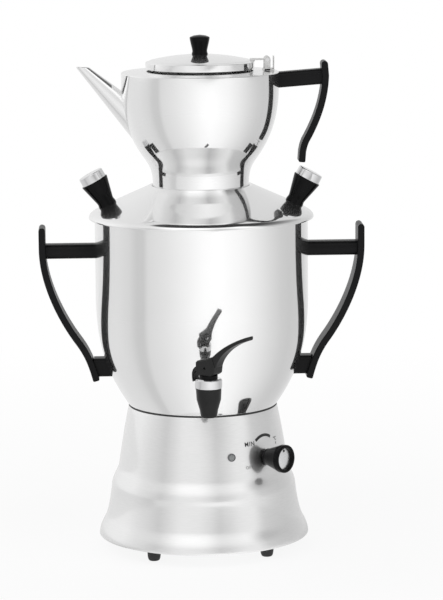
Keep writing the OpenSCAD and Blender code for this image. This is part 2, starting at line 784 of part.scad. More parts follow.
module side_handle() {
    arm_in = tank_r - 4;
    lug_in = r_at(tank_curve, lug_z) - 6;
    lug_out = grip_x - 50.3;
    color("#181818") difference() {
        union() {
            translate([0, grip_w / 2, 0]) rotate([90, 0, 0]) linear_extrude(height = grip_w)
                strap(grip_curve, grip_t);
            translate([arm_in, 0, arm_z]) rotate([90, 0, 90])
                linear_extrude(height = grip_x - grip_t - arm_in + 2) round_rect(arm_w, arm_h, 5);
            translate([lug_in, 0, lug_z]) rotate([90, 0, 90])
                linear_extrude(height = lug_out - lug_in - 1) round_rect(arm_w, lug_h, 5);
        }
        tank_form();
        at_handle_screws() cylinder(r = 2.5, h = 15);
    }
}

module handle_right() { side_handle(); }

module handle_left() { mirror([1, 0, 0]) side_handle(); }

module handle_screws() {
    color("silver") at_handle_screws() {
        translate([0, 0, -2.8]) cylinder(r = 4.5, h = 2.6);
        translate([0, 0, -over]) cylinder(r = 2.5, h = 15 + over);
    }
}

// ---- Tap ----

// Places children on the shank's axis: +Z points to the front.
module on_shank(y) { translate([0, -y, tap_z]) rotate([90, 0, 0]) children(); }

module at_tap(z = 0) { translate([0, -tap_y, z]) children(); }

// Lever frame: +X along the lever, +Z up.
module at_lever(z = 0) { at_tap(z) rotate([0, 0, lever_angle - 90]) children(); }

thread_gap = 0.1;
spigot_h = 3.6;
spigot_r = 9.4;
nut_h = 5;
bonnet_z = tap_top_z + bonnet_h;
washer_z = bonnet_z + swivel_h;
roof_z = bonnet_z - 3;

module tap_boss() {
    color("#d8d8d8") on_shank(boss_in_y) tube(boss_r, thread_r + thread_gap, boss_out_y - boss_in_y);
}

module tap_gasket() {
    color("#f0f0ea") on_shank(boss_out_y) tube(shank_r + 1.5, thread_r + thread_gap, tap_gasket_t);
}

module tap_nut() {
    color("silver") on_shank(boss_in_y - nut_h) nut(18, thread_r, nut_h);
}

module tap_body() {
    shoulder_y = boss_out_y + tap_gasket_t;
    end_y = boss_in_y - nut_h - 2;
    color("#151515") difference() {
        union() {
            on_shank(end_y) cylinder(r = thread_r, h = shoulder_y - end_y + 1);
            on_shank(shoulder_y) cylinder(r = shank_r + 1.5, h = shoulder_t);
            on_shank(shoulder_y) cylinder(r = shank_r, h = tap_y - shoulder_y);
            at_tap() rotate_extrude() polygon([[0, outlet_z], [outlet_r, outlet_z],
                [outlet_r + 1.2, outlet_z + 7], [tap_r - 0.4, tap_z - 1], [tap_r, tap_top_z - 3],
                [tap_r, tap_top_z], [0, tap_top_z]]);
        }
        at_tap(chamber_z) cylinder(r = chamber_r, h = 40);
        at_tap(tap_top_z - spigot_h) cylinder(r = spigot_r, h = 40);
        at_tap(outlet_z - over) cylinder(r = way_r, h = 40);
        on_shank(end_y - over) cylinder(r = way_r, h = tap_y - end_y + over);
    }
}

module tap_bonnet() {
    color("#e0e0e0") at_tap() difference() {
        union() {
            rotate_extrude() polygon([[0, tap_top_z], [bonnet_r - 0.4, tap_top_z],
                [bonnet_r, tap_top_z + 0.6], [bonnet_r, bonnet_z - 1.2], [bonnet_r - 1, bonnet_z],
                [0, bonnet_z]]);
            translate([0, 0, tap_top_z - spigot_h]) cylinder(r = spigot_r, h = spigot_h + over);
        }
        translate([0, 0, tap_top_z - spigot_h - over]) cylinder(r = chamber_r,
            h = roof_z - tap_top_z + spigot_h + over);
        cylinder(r = stem_r + play, h = bonnet_z + over);
    }
}

module tap_swivel() {
    color("#202020") at_tap(bonnet_z) tube(swivel_r, stem_r + play, swivel_h);
}

tongue_w = 5;

module tap_stem() {
    color("#d0d0d0") at_lever() difference() {
        union() {
            translate([0, 0, chamber_z + 2.5]) cylinder(r = stem_r, h = washer_z - chamber_z - 2);
            translate([-4, -tongue_w / 2, washer_z + gap]) cube([8, tongue_w, pin_rise + 3]);
        }
        translate([0, 0, pin_z]) rotate([90, 0, 0]) cylinder(r = pin_r + play, h = 20, center = true);
    }
}

module tap_seat_cup() {
    color("#e8e4d8") at_tap(chamber_z) difference() {
        rotate_extrude() polygon([[0, 0], [way_r + 1.4, 0], [chamber_r - 0.8, 1.2],
            [chamber_r - 0.8, seat_cup_h - 1], [5.6, seat_cup_h], [0, seat_cup_h]]);
        translate([0, 0, 2.5]) cylinder(r = stem_r, h = 10);
    }
}

// Coil of round wire around +Z, as rings of points joined side to side.
module coil(r, wire, h, turns) {
    around = 18;
    sides = 6;
    count = turns * around;
    points = [for (i = [0:count], k = [0:sides - 1])
        let (a = 360 * i / around, b = 360 * k / sides, q = r + wire * cos(b))
        [q * cos(a), q * sin(a), h * i / count + wire * sin(b)]];
    polyhedron(points, concat([[for (k = [0:sides - 1]) k]],
        [for (i = [0:count - 1], k = [0:sides - 1]) let (n = (k + 1) % sides)
            [i * sides + k, (i + 1) * sides + k, (i + 1) * sides + n, i * sides + n]],
        [[for (k = [sides - 1:-1:0]) count * sides + k]]));
}

spring_z = chamber_z + seat_cup_h + 0.8;

module tap_spring() {
    wire = 0.6;
    color("#b0b0b0") at_tap(spring_z) coil(4.6, wire, roof_z - 0.8 - spring_z, 5);
}

// Side view of the lever: x is the distance from the tap's axis, y the height.
module lever_arm_shape() {
    tip = [lever_reach, pin_z + lever_rise];
    polygon(concat([[-9, washer_z + 9], [9, washer_z + 8]],
        bez([11.5, pin_z + 1], [13.5, pin_z + 10], [24, tip[1] - 10], [lever_reach, tip[1] - 3.8], 10),
        bez(tip, [31, tip[1] - 5], [18.5, tip[1] - 11.5], [8, pin_z + 11.2], 10),
        [[0, pin_z + 8.4], [-9.5, pin_z + 6.2]]));
}

module lever_hub_shape() {
    polygon([[-rock_half, washer_z], [rock_half, washer_z], [10.2, washer_z + 2.4],
        [11, pin_z + 2], [8, pin_z + 10.4], [0, pin_z + 7.6], [-9.5, pin_z + 5.4],
        [-9.5, washer_z + 5], [-8, washer_z + 0.9]]);
}

module lever_heel_shape() {
    top = [-8, pin_z + 1.5];
    low = [-14.6, bonnet_z - 4];
    polygon(concat(bez(top, top + [-5, -1], low + [-2.6, 11], low, 8),
        bez(low + [1.1, 0.3], low + [-0.3, 8], [-12.2, washer_z + 3.5], [-8, washer_z + 4], 8)));
}

module lever_slab(w) {
    translate([0, w / 2, 0]) rotate([90, 0, 0]) linear_extrude(height = w) children();
}

module tap_lever() {
    color("#121212") at_lever() difference() {
        union() {
            lever_slab(paddle_w) lever_arm_shape();
            lever_slab(hub_w) lever_hub_shape();
            lever_slab(10) lever_heel_shape();
        }
        translate([-7, -tongue_w / 2 - gap, washer_z - over])
            cube([14, tongue_w + 2 * gap, pin_rise + 5 + over]);
        translate([0, 0, pin_z]) rotate([90, 0, 0]) cylinder(r = pin_r, h = 40, center = true);
    }
}

module lever_pin() {
    color("silver") at_lever(pin_z) rotate([90, 0, 0])
        cylinder(r = pin_r, h = hub_w, center = true);
}

// ---- Thermostat knob ----

insert_t = 1.1;
// Depth of the shaft's end behind the knob's rim.
dial_skin = 6.6;

module dial_knob() {
    rim = dial_len;
    foot = gap + dial_root_r * tan(max(-lean(base_curve, dial_z) - dial_tilt, 0));
    color("#101010") at_dial() difference() {
        rotate_extrude() polygon([[0, foot], [dial_root_r, foot], [dial_root_r, foot + 2.4],
            [dial_r - 0.7, rim - 7.5], [dial_r, rim - 5], [dial_r, rim - 1.2], [dial_r - 1.2, rim],
            [0, rim]]);
        translate([0, 0, rim - insert_sink - insert_t]) cylinder(r = insert_r, h = 9);
        cylinder(r = shaft_r, h = rim - dial_skin);
    }
}

module dial_insert() {
    color("#d9dcdc") at_dial() difference() {
        translate([0, 0, dial_len - insert_sink - insert_t]) cylinder(r = insert_r, h = insert_t);
        translate([0, insert_r - 2.6, dial_len - insert_sink - 0.6]) cylinder(r = 1.4, h = 3);
    }
}

// ---- Tank lid ----

// Places children at each lid knob: +Z runs along the knob, outwards.
module at_lid_knobs() {
    for (a = [0, 180]) rotate([0, 0, a]) translate([knob_x, 0, knob_z])
        rotate([0, knob_tilt, 0]) children();
}

module lid_shell() {
    color("#ececec") difference() {
        rotate_extrude() polygon(concat(lid_curve, back(shift(lid_curve, sheet))));
        at_lid_knobs() translate([0, 0, -8]) cylinder(r = 2.6, h = 20);
    }
}

module lid_ring() {
    ring_r = tank_in_r - lid_ring_gap;
    color("#d0d0d0") intersection() {
        translate([0, 0, tank_rim_z - lid_ring_h]) tube(ring_r, ring_r - sheet, 30);
        under_lid(sheet);
    }
}

module lid_knobs() {
    neck_z = 4;
    color("#0e0e0e") difference() {
        at_lid_knobs() difference() {
            rotate_extrude() polygon([[0, -7], [knob_foot_r, -7], [knob_foot_r, 1],
                [knob_neck_r, neck_z], [knob_neck_r, neck_z + 1], [knob_top_r, knob_len - 0.8],
                [knob_top_r - 0.6, knob_len], [0, knob_len]]);
            translate([0, 0, -8]) cylinder(r = 2.5, h = 24);
        }
        under_lid();
    }
}

module lid_knob_caps() {
    color("#e4e4e4") at_lid_knobs() translate([0, 0, knob_len]) rotate_extrude()
        polygon([[0, 0], [cap_r, 0], [cap_r, cap_h - 1.2], [cap_r - 0.35, cap_h - 0.35],
            [cap_r - 1.2, cap_h], [0, cap_h]]);
}

module lid_knob_screws() {
    color("silver") at_lid_knobs() {
        translate([0, 0, -4.6]) cylinder(r = 4.2, h = 2.6);
        translate([0, 0, -2.1]) cylinder(r = 2.5, h = 18);
    }
}

// ---- Teapot ----

pot_path = concat(pot_curve, [[pot_r, pot_rim_z - 1.5], [pot_r - 0.45, pot_rim_z - 0.45],
    [pot_r - 1.5, pot_rim_z], [collar_r, pot_rim_z + deck_rise], [collar_r, collar_top_z]]);

// Spout frame: +Z runs down the cone's axis from its apex.
module at_spout() {
    translate([-spout_apex_x, 0, spout_apex_z]) rotate([0, 90 + spout_fall, 0]) children();
}

module at_pot_screws() {
    for (y = [-1, 1])
        translate([pot_r - sheet, y * 4.5, pot_rim_z - 8.5]) rotate([0, 90, 0]) children();
}

module teapot_body() {
    ring = 6.2;
    floor_top = seat_z + sheet;
    color("#e8e8e8") difference() {
        turned(pot_path);
        rotate_extrude() polygon(concat([[0, floor_top], [pot_foot_r - sheet, floor_top]],
            [for (p = shift(pot_path, -sheet)) if (p[1] > floor_top && p[1] < pot_rim_z) p],
            [[pot_in_r, pot_rim_z + deck_rise - sheet], [pot_in_r, collar_top_z + over],
             [0, collar_top_z + over]]));
        at_spout() translate([0, 0, 72]) {
            cylinder(r = strainer_r, h = 34);
            for (a = [0:60:300]) rotate([0, 0, a]) translate([ring, 0, 0]) cylinder(r = strainer_r, h = 34);
        }
        at_pot_screws() translate([0, 0, -5]) cylinder(r = 2.1, h = 12);
    }
}

module teapot_spout() {
    start = 20;
    end = 116;
    k = tan(spout_half);
    thin = sheet / cos(spout_half);
    color("#e8e8e8") difference() {
        at_spout() difference() {
            translate([0, 0, start]) cylinder(r1 = start * k, r2 = end * k, h = end - start);
            translate([0, 0, start - over]) cylinder(r1 = (start - over) * k - thin,
                r2 = (end + over) * k - thin, h = end - start + 2 * over);
        }
        pot_form();
        translate([-spout_apex_x - 30, -50, mouth_z]) cube([100, 100, 60]);
    }
}

// Outer side of the teapot's grip, from its top down to its free end.
pot_grip_curve = let (low = [pot_grip_x - 19.5, pot_grip_end_z + 19.1])
    concat([[pot_grip_x - 0.9, pot_grip_top_z - 3]],
        bez([pot_grip_x, pot_grip_top_z - 13.8], [pot_grip_x - 0.7, pot_grip_top_z - 39.8],
            [pot_grip_x - 10.5, pot_grip_top_z - 61.8], low, 12),
        [[pot_grip_x - 22, pot_grip_end_z + 12], [pot_grip_x - 22.9, pot_grip_end_z]]);

module teapot_handle() {
    arm_in = pot_r - 4;
    arm_out = pot_grip_x - pot_grip_t + 1;
    color("#141414") difference() {
        union() {
            translate([0, pot_grip_w / 2, 0]) rotate([90, 0, 0])
                linear_extrude(height = pot_grip_w) strap(pot_grip_curve, pot_grip_t);
            translate([0, pot_arm_w / 2, 0]) rotate([90, 0, 0]) linear_extrude(height = pot_arm_w)
                polygon([[arm_in, pot_rim_z - pot_arm_h - 0.8], [arm_out, pot_rim_z - pot_arm_h + 2.4],
                    [arm_out, pot_rim_z + 2.4], [arm_in, pot_rim_z - 0.8]]);
        }
        pot_form();
        at_pot_screws() cylinder(r = 2, h = 15);
    }
}

module teapot_handle_screws() {
    color("silver") at_pot_screws() {
        translate([0, 0, -2.8]) cylinder(r = 3.6, h = 2.2);
        translate([0, 0, -0.6 - over]) cylinder(r = 2, h = 15.6 + over);
    }
}

// Everything inside the teapot's outer side, with its deck and collar.
module pot_outside() { turned(pot_path); }

module hinge_bracket() {
    ear_t = 1.2;
    ear_y = knuckle_w / 2 + gap;
    foot_z = pot_rim_z - 2;
    color("#d4d4d4") difference() {
        union() {
            translate([hinge_x - 4, -ear_y - ear_t, foot_z])
                cube([stop_gap + 4.8, 2 * (ear_y + ear_t), pot_rim_z + deck_rise - foot_z + 0.6]);
            for (y = [-ear_y - ear_t, ear_y]) {
                translate([hinge_x - 3, y, foot_z]) cube([6, ear_t, hinge_z - foot_z]);
                translate([hinge_x, y, hinge_z]) rotate([-90, 0, 0]) cylinder(r = 3, h = ear_t);
            }
            translate([hinge_x + stop_gap, -ear_y, foot_z])
                cube([0.8, 2 * ear_y, hinge_z + knuckle_r - foot_z]);
        }
        pot_outside();
        translate([hinge_x, -20, hinge_z]) rotate([-90, 0, 0]) cylinder(r = hinge_pin_r, h = 40);
    }
}

module hinge_pin() {
    half = knuckle_w / 2 + gap + 1.2;
    color("#c8c8c8") translate([hinge_x, -half - 0.8, hinge_z]) rotate([-90, 0, 0]) {
        cylinder(r = hinge_pin_r, h = 2 * half + 1.6);
        for (z = [0, 2 * half + 0.8]) translate([0, 0, z]) cylinder(r = 1.9, h = 0.8);
    }
}

// Top side of the teapot's lid, from its centre out to the brim's edge.
brim_w = 4.3;
step_h = 1.5;
dome_top_z = collar_top_z + sheet + dome_h;
pot_lid_curve = let (half = pot_lid_r - brim_w, sag = dome_h - step_h,
    ball = (half * half + sag * sag) / (2 * sag))
    concat([for (i = [0:10]) let (x = half * i / 10)
        [x, dome_top_z - ball + sqrt(ball * ball - x * x)]],
        [[half + 1.8, collar_top_z + sheet + 0.5], [pot_lid_r - 0.6, collar_top_z + sheet],
         [pot_lid_r, collar_top_z + sheet - 0.5], [pot_lid_r, collar_top_z]]);

// Everything under the teapot lid's top side, down to the collar.
module under_pot_lid() {
    rotate_extrude() polygon(concat([[0, collar_top_z - 20]], pot_lid_curve,
        [[pot_lid_r, collar_top_z - 20]]));
}

module teapot_lid() {
    color("#ececec") difference() {
        intersection() {
            under_pot_lid();
            translate([0, 0, collar_top_z]) cylinder(r = pot_lid_r, h = 30);
        }
        rotate_extrude() polygon(concat([[0, collar_top_z - over], [0, dome_top_z - sheet]],
            [for (p = rest(shift(pot_lid_curve, sheet))) if (p[0] < pot_in_r - pot_skirt_gap) p],
            [[pot_in_r - pot_skirt_gap, collar_top_z + sheet],
                [pot_in_r - pot_skirt_gap, collar_top_z - over]]));
        translate([0, 0, collar_top_z]) cylinder(r = 2.1, h = 20);
    }
}

module teapot_lid_skirt() {
    skirt_r = pot_in_r - pot_skirt_gap;
    color("#d0d0d0") translate([0, 0, collar_top_z - pot_skirt_h])
        tube(skirt_r, skirt_r - sheet, pot_skirt_h + sheet);
}

module hinge_leaf() {
    t = 1;
    start = pot_lid_r - brim_w + 0.3;
    color("#d8d8d8") difference() {
        union() {
            translate([start, -knuckle_w / 2, hinge_z - t / 2]) cube([hinge_x - start, knuckle_w, t]);
            translate([start, -knuckle_w / 2, collar_top_z + sheet / 2])
                cube([brim_w - 0.3, knuckle_w, hinge_z - collar_top_z - sheet / 2]);
            translate([hinge_x, -knuckle_w / 2, hinge_z]) rotate([-90, 0, 0])
                cylinder(r = knuckle_r, h = knuckle_w);
        }
        under_pot_lid();
        translate([hinge_x, -20, hinge_z]) rotate([-90, 0, 0])
            cylinder(r = hinge_pin_r + play, h = 40);
    }
}

module teapot_knob() {
    neck_z = 2.6;
    top = pot_knob_h;
    color("#0e0e0e") difference() {
        translate([0, 0, dome_top_z]) rotate_extrude() polygon(concat([[0, -1],
            [pot_knob_r - 1.9, -1], [pot_knob_r - 1.9, 0.6], [pot_knob_r - 2.5, neck_z]],
            bez([pot_knob_r - 2.5, neck_z + 0.8], [pot_knob_r - 1.8, neck_z + 5],
                [pot_knob_r - 0.2, top - 4], [pot_knob_r, top - 0.6], 7),
            [[pot_knob_r - 0.5, top], [pot_knob_r - 3.6, top + 1.3], [0, top + 2.1]]));
        under_pot_lid();
        translate([0, 0, dome_top_z - 5]) cylinder(r = 2, h = 15);
    }
}

module teapot_knob_screw() {
    color("silver") {
        translate([0, 0, dome_top_z - sheet - 2.7]) cylinder(r = 3.6, h = 2.5);
        translate([0, 0, dome_top_z - sheet - 0.3]) cylinder(r = 2, h = 10);
    }
}

// ---- Nodes ----

base_shell();
bottom_plate();
rubber_feet();
foot_screws();
seam_ring();
tank_shell();
tie_rods();
tie_nuts();
heat_shield();
heating_element();
element_seals();
element_nuts();
thermal_cutout();
cutout_clip();
thermostat_body();
thermostat_bracket();
thermostat_nut();
thermostat_shaft();
capillary_tube();
terminal_block();
earth_stud();
wiring();
cord_gland();
gland_nut();
lamp_lens();
lamp_body();
handle_left();
handle_right();
handle_screws();
tap_boss();
tap_gasket();
tap_body();
tap_nut();
tap_bonnet();
tap_swivel();
tap_stem();
tap_seat_cup();
tap_spring();
tap_lever();
lever_pin();
dial_knob();
dial_insert();
lid_shell();
lid_ring();
lid_knobs();
lid_knob_caps();
lid_knob_screws();
teapot_body();
teapot_spout();
teapot_handle();
teapot_handle_screws();
hinge_bracket();
hinge_pin();
hinge_leaf();
teapot_lid();
teapot_lid_skirt();
teapot_knob();
teapot_knob_screw();
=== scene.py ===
"""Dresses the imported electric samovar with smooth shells, moulded grips, knobs and finishes."""

import logging
import math
from dataclasses import dataclass
from enum import Enum
from functools import cached_property
from typing import Any, Callable, Iterable, Optional, Sequence

import bmesh
import bpy
from mathutils import Matrix, Vector


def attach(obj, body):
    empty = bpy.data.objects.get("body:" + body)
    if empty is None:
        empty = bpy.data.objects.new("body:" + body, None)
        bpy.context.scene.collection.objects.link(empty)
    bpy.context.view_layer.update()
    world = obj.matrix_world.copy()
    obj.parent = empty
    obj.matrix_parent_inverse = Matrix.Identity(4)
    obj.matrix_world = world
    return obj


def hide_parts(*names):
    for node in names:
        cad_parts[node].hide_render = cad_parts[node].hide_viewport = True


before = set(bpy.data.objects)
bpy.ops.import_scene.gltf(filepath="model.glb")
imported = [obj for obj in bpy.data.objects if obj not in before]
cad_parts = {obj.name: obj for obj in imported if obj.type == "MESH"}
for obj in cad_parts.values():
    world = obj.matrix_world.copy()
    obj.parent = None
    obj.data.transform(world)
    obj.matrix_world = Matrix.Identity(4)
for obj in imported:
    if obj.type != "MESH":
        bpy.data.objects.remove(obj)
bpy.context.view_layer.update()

LOG = logging.getLogger("samovar")
MM = 0.001
Point = tuple[float, float]
Colour = tuple[float, float, float]
Mesh = bmesh.types.BMesh
Material = bpy.types.Material


class Body(Enum):
    """The moving bodies that pieces ride on."""

    BOILER = "boiler"
    DIAL = "dial"
    LEVER = "lever"
    TANK_LID = "tank_lid"
    TEAPOT = "teapot"
    TEAPOT_LID = "teapot_lid"


# ---- Profiles, in millimetres ----


def bezier(a: Point, b: Point, c: Point, d: Point, count: int) -> list[Point]:
    """Samples a cubic Bezier curve.

    Args:
        a: First point.
        b: Handle of the first point.
        c: Handle of the last point.
        d: Last point.
        count: Number of lengths the curve is cut into.

    Returns:
        The points from a to d.
    """
    points = []
    for step in range(count + 1):
        t = step / count
        u = 1 - t
        weights = (u ** 3, 3 * t * u * u, 3 * t * t * u, t ** 3)
        points.append(tuple(sum(w * p[k] for w, p in zip(weights, (a, b, c, d))) for k in (0, 1)))
    return points


def chain(start: Point, *spans: tuple[Point, Point, Point, int]) -> list[Point]:
    """Joins Bezier curves end to end.

    Args:
        start: First point.
        *spans: Each curve's two handles, its end and its count of lengths.

    Returns:
        The points of the whole path.
    """
    path = [start]
    for leave, reach, end, count in spans:
        path += bezier(path[-1], leave, reach, end, count)[1:]
    return path


def arc(centre: Point, radius: Point, degrees: Iterable[float]) -> list[Point]:
    """Samples an arc.

    Args:
        centre: Its centre.
        radius: Its radius across and its radius up.
        degrees: Angles of the points, from the right, in degrees.

    Returns:
        The points.
    """
    turns = [math.radians(a) for a in degrees]
    return [(centre[0] + radius[0] * math.cos(t), centre[1] + radius[1] * math.sin(t))
            for t in turns]


def offset(path: Sequence[Point], distance: float) -> list[Point]:
    """Moves a path sideways.

    Args:
        path: Points of the path.
        distance: Distance to its right-hand side.

    Returns:
        The moved points.
    """
    moved_path = []
    for index, (x, y) in enumerate(path):
        before, after = path[max(index - 1, 0)], path[min(index + 1, len(path) - 1)]
        run, rise = after[0] - before[0], after[1] - before[1]
        size = math.hypot(run, rise)
        moved_path.append((x + distance * rise / size, y - distance * run / size))
    return moved_path


def read_off(path: Sequence[Point], value: float, key: int = 1) -> float:
    """Reads a path's radius at a height, or its height at a radius.

    Args:
        path: Points of radius and height.
        value: The height or, where key is 0, the radius.
        key: 1 to look up a height, 0 to look up a radius.

    Returns:
        The other coordinate there, or that of the nearer end.
    """
    for first, last in zip(path, path[1:]):
        if first[key] <= value <= last[key] and last[key] > first[key]:
            share = (last[1 - key] - first[1 - key]) * (value - first[key])
            return first[1 - key] + share / (last[key] - first[key])
    return path[0 if value < path[0][key] else -1][1 - key]


def rounded(path: Sequence[Point], radius: float, count: int, closed: bool = False,
            least: float = 25.0) -> list[Point]:
    """Rounds a path's sharp corners.

    Args:
        path: Points of the path.
        radius: Radius of the corners, made less where a side is short.
        count: Number of lengths in each corner.
        closed: Whether the last point joins the first.
        least: Smallest turn that counts as a corner, in degrees.

    Returns:
        The path with an arc in place of each corner.
    """
    result: list[Point] = []
    total = len(path)
    for index, point in enumerate(path):
        here = Vector(point)
        back, ahead = Vector(path[index - 1]) - here, Vector(path[(index + 1) % total]) - here
        turn = math.pi - back.angle(ahead, 0.0)
        if math.degrees(turn) < least or not closed and index in (0, total - 1):
            result.append(point)
            continue
        reach = min(radius * math.tan(turn / 2), 0.45 * back.length, 0.45 * ahead.length)
        start, end = here + back.normalized() * reach, here + ahead.normalized() * reach
        for step in range(count + 1):
            t = step / count
            mid = start.lerp(here, t).lerp(here.lerp(end, t), t)
            result.append((mid.x, mid.y))
    return result


def oblong(width: float, height: float, centre: float, radius: float) -> list[Point]:
    """Draws a rounded rectangle.

    Args:
        width: Its width.
        height: Its height.
        centre: Height of its centre.
        radius: Radius of its corners.

    Returns:
        The points of its outline.
    """
    corners = [(-width / 2, centre - height / 2), (width / 2, centre - height / 2),
               (width / 2, centre + height / 2), (-width / 2, centre + height / 2)]
    return rounded(corners, radius, 6, True)


# ---- Meshes ----


def lathe(profile: Sequence[Point], steps: int, closed: bool = False) -> Mesh:
    """Spins a profile of radius and height about the Z axis.

    Args:
        profile: Points of radius and height, in millimetres.
        steps: Number of steps round.
        closed: Whether the last point joins the first.

    Returns:
        A closed mesh in metres with its faces outwards.
    """
    mesh = bmesh.new()
    verts = [mesh.verts.new((r * MM, 0.0, z * MM)) for r, z in profile]
    edges = [mesh.edges.new(pair) for pair in zip(verts, verts[1:])]
    if closed:
        edges.append(mesh.edges.new((verts[-1], verts[0])))
    bmesh.ops.spin(mesh, geom=verts + edges, cent=(0, 0, 0), axis=(0, 0, 1), angle=math.tau,
                   steps=steps, use_merge=True)
    bmesh.ops.remove_doubles(mesh, verts=mesh.verts, dist=1e-7)
    bmesh.ops.recalc_face_normals(mesh, faces=mesh.faces)
    return mesh


def prism(ring: Iterable[Sequence[float]], way: Sequence[float]) -> tuple[Mesh, list]:
    """Extrudes a flat ring of points along a way.

    Args:
        ring: The points, in millimetres.
        way: Where the far end lies from the near one, in millimetres.

    Returns:
        The mesh, in metres, and the vertices of its near end.
    """
    mesh = bmesh.new()
    near = [mesh.verts.new([value * MM for value in point]) for point in ring]
    grown = bmesh.ops.extrude_face_region(mesh, geom=[mesh.faces.new(near)])
    far = [item for item in grown["geom"] if isinstance(item, bmesh.types.BMVert)]
    bmesh.ops.translate(mesh, verts=far, vec=[value * MM for value in way])
    return mesh, near


def slab(outline: Sequence[Point], width: float, edge: float, segments: int,
         least: float) -> Mesh:
    """Extrudes a side view to both sides of the XZ plane and rounds its rims.

    Args:
        outline: Points of the side view, in millimetres.
        width: Whole width along Y, in millimetres.
        edge: Width of the rounded edges, in millimetres.
        segments: Number of faces across a rounded edge.
        least: Smallest angle between faces that is rounded, in degrees.

    Returns:
        A closed mesh in metres.
    """
    mesh, _ = prism([(x, -width / 2, z) for x, z in outline], (0, width, 0))
    bmesh.ops.recalc_face_normals(mesh, faces=mesh.faces)
    return soften(mesh, edge, segments, least)


def soften(mesh: Mesh, edge: float, segments: int, least: float) -> Mesh:
    """Bevels a mesh's sharp edges.

    Args:
        mesh: The mesh, in metres.
        edge: Width of the bevels, in millimetres.
        segments: Number of faces across a bevel.
        least: Smallest angle between faces that is bevelled, in degrees.

    Returns:
        The same mesh.
    """
    limit = math.radians(least)
    sharp = [e for e in mesh.edges if len(e.link_faces) == 2 and e.calc_face_angle(0.0) > limit]
    bmesh.ops.bevel(mesh, geom=sharp, offset=edge * MM, affect="EDGES", segments=segments,
                    profile=0.5, material=-1, clamp_overlap=True)
    return mesh


def merged(meshes: Iterable[Mesh]) -> Mesh:
    """Joins several closed meshes into one and frees them.

    Args:
        meshes: The meshes.

    Returns:
        The new mesh.
    """
    whole = bmesh.new()
    for mesh in meshes:
        holder = bpy.data.meshes.new("holder")
        mesh.to_mesh(holder)
        mesh.free()
        whole.from_mesh(holder)
        bpy.data.meshes.remove(holder)
    return whole


def moved(mesh: Mesh, matrix: Matrix) -> Mesh:
    """Moves a mesh and keeps its faces outwards.

    Args:
        mesh: The mesh.
        matrix: Where it goes, which may mirror it.

    Returns:
        The same mesh.
    """
    bmesh.ops.transform(mesh, matrix=matrix, verts=mesh.verts)
    if matrix.determinant() < 0:
        bmesh.ops.reverse_faces(mesh, faces=mesh.faces)
    return mesh


def rod(start: Vector, end: Vector, radius: float, segments: int, edge: float) -> Mesh:
    """Makes a round bar with bevelled ends.

    Args:
        start: Middle of its first end, in millimetres.
        end: Middle of its last end, in millimetres.
        radius: Its radius, in millimetres.
        segments: Number of faces round.
        edge: Width of the bevels, in millimetres.

    Returns:
        A closed mesh in metres.
    """
    mesh = bmesh.new()
    length = (end - start).length
    bmesh.ops.create_cone(mesh, cap_ends=True, segments=segments, radius1=radius * MM,
                          radius2=radius * MM, depth=length * MM)
    turn = (end - start).to_track_quat("Z", "Y").to_matrix().to_4x4()
    return moved(soften(mesh, edge, 3, 60.0), Matrix.Translation((start + end) / 2 * MM) @ turn)


def beam(section: Sequence[Point], end: float, wall: Callable[[float], float]) -> Mesh:
    """Bar along X whose near end follows a round wall.

    Args:
        section: Points of the section across and up, in millimetres.
        end: Distance of its far end.
        wall: Radius of the wall at a height.

    Returns:
        The closed bar, which ends inside the wall's sheet.
    """
    mesh, near = prism([(0, y, z) for y, z in section], (end, 0, 0))
    for vert in near:
        radius = wall(vert.co.z / MM) - 0.5
        vert.co.x = math.sqrt(radius ** 2 - (vert.co.y / MM) ** 2) * MM
    bmesh.ops.recalc_face_normals(mesh, faces=mesh.faces)
    return mesh


def strap(outer: Sequence[Point], thickness: float, width: float, edge: float,
          tail: float) -> Mesh:
    """Moulded strap that follows a side view.

    Args:
        outer: Outer side of the strap, from its top down, in millimetres.
        thickness: Thickness of the strap.
        width: Width of the strap.
        edge: Radius of its long edges.
        tail: Radius of the corners at its free end.

    Returns:
        The strap, with a round top end.
    """
    inner = offset(outer, thickness)
    centre = Vector(outer[0]).lerp(Vector(inner[0]), 0.5)
    half = thickness / 2
    cap = arc(centre, (-half, half), [22.5 * step for step in range(1, 8)])
    end = rounded([outer[-2], outer[-1], inner[-1], inner[-2]], tail, 3)
    return slab(list(outer[:-1]) + end[1:-1] + inner[:-1][::-1] + cap, width, edge, 4, 50)


def place(origin: Sequence[float], *turns: tuple[float, str]) -> Matrix:
    """Makes a matrix of turns and a shift.

    Args:
        origin: Where the shift leads, in millimetres.
        *turns: Degrees and axis of each turn, the last of which acts first.

    Returns:
        The matrix, in metres.
    """
    matrix = Matrix.Translation(Vector(origin) * MM)
    for degrees, axis in turns:
        matrix = matrix @ Matrix.Rotation(math.radians(degrees), 4, axis)
    return matrix


def linked(name: str, data: Any) -> bpy.types.Object:
    """Makes an object and puts it in the scene.

    Args:
        name: Its name.
        data: Its mesh, curve, lamp or camera.

    Returns:
        The object.
    """
    made = bpy.data.objects.new(name, data)
    bpy.context.scene.collection.objects.link(made)
    return made


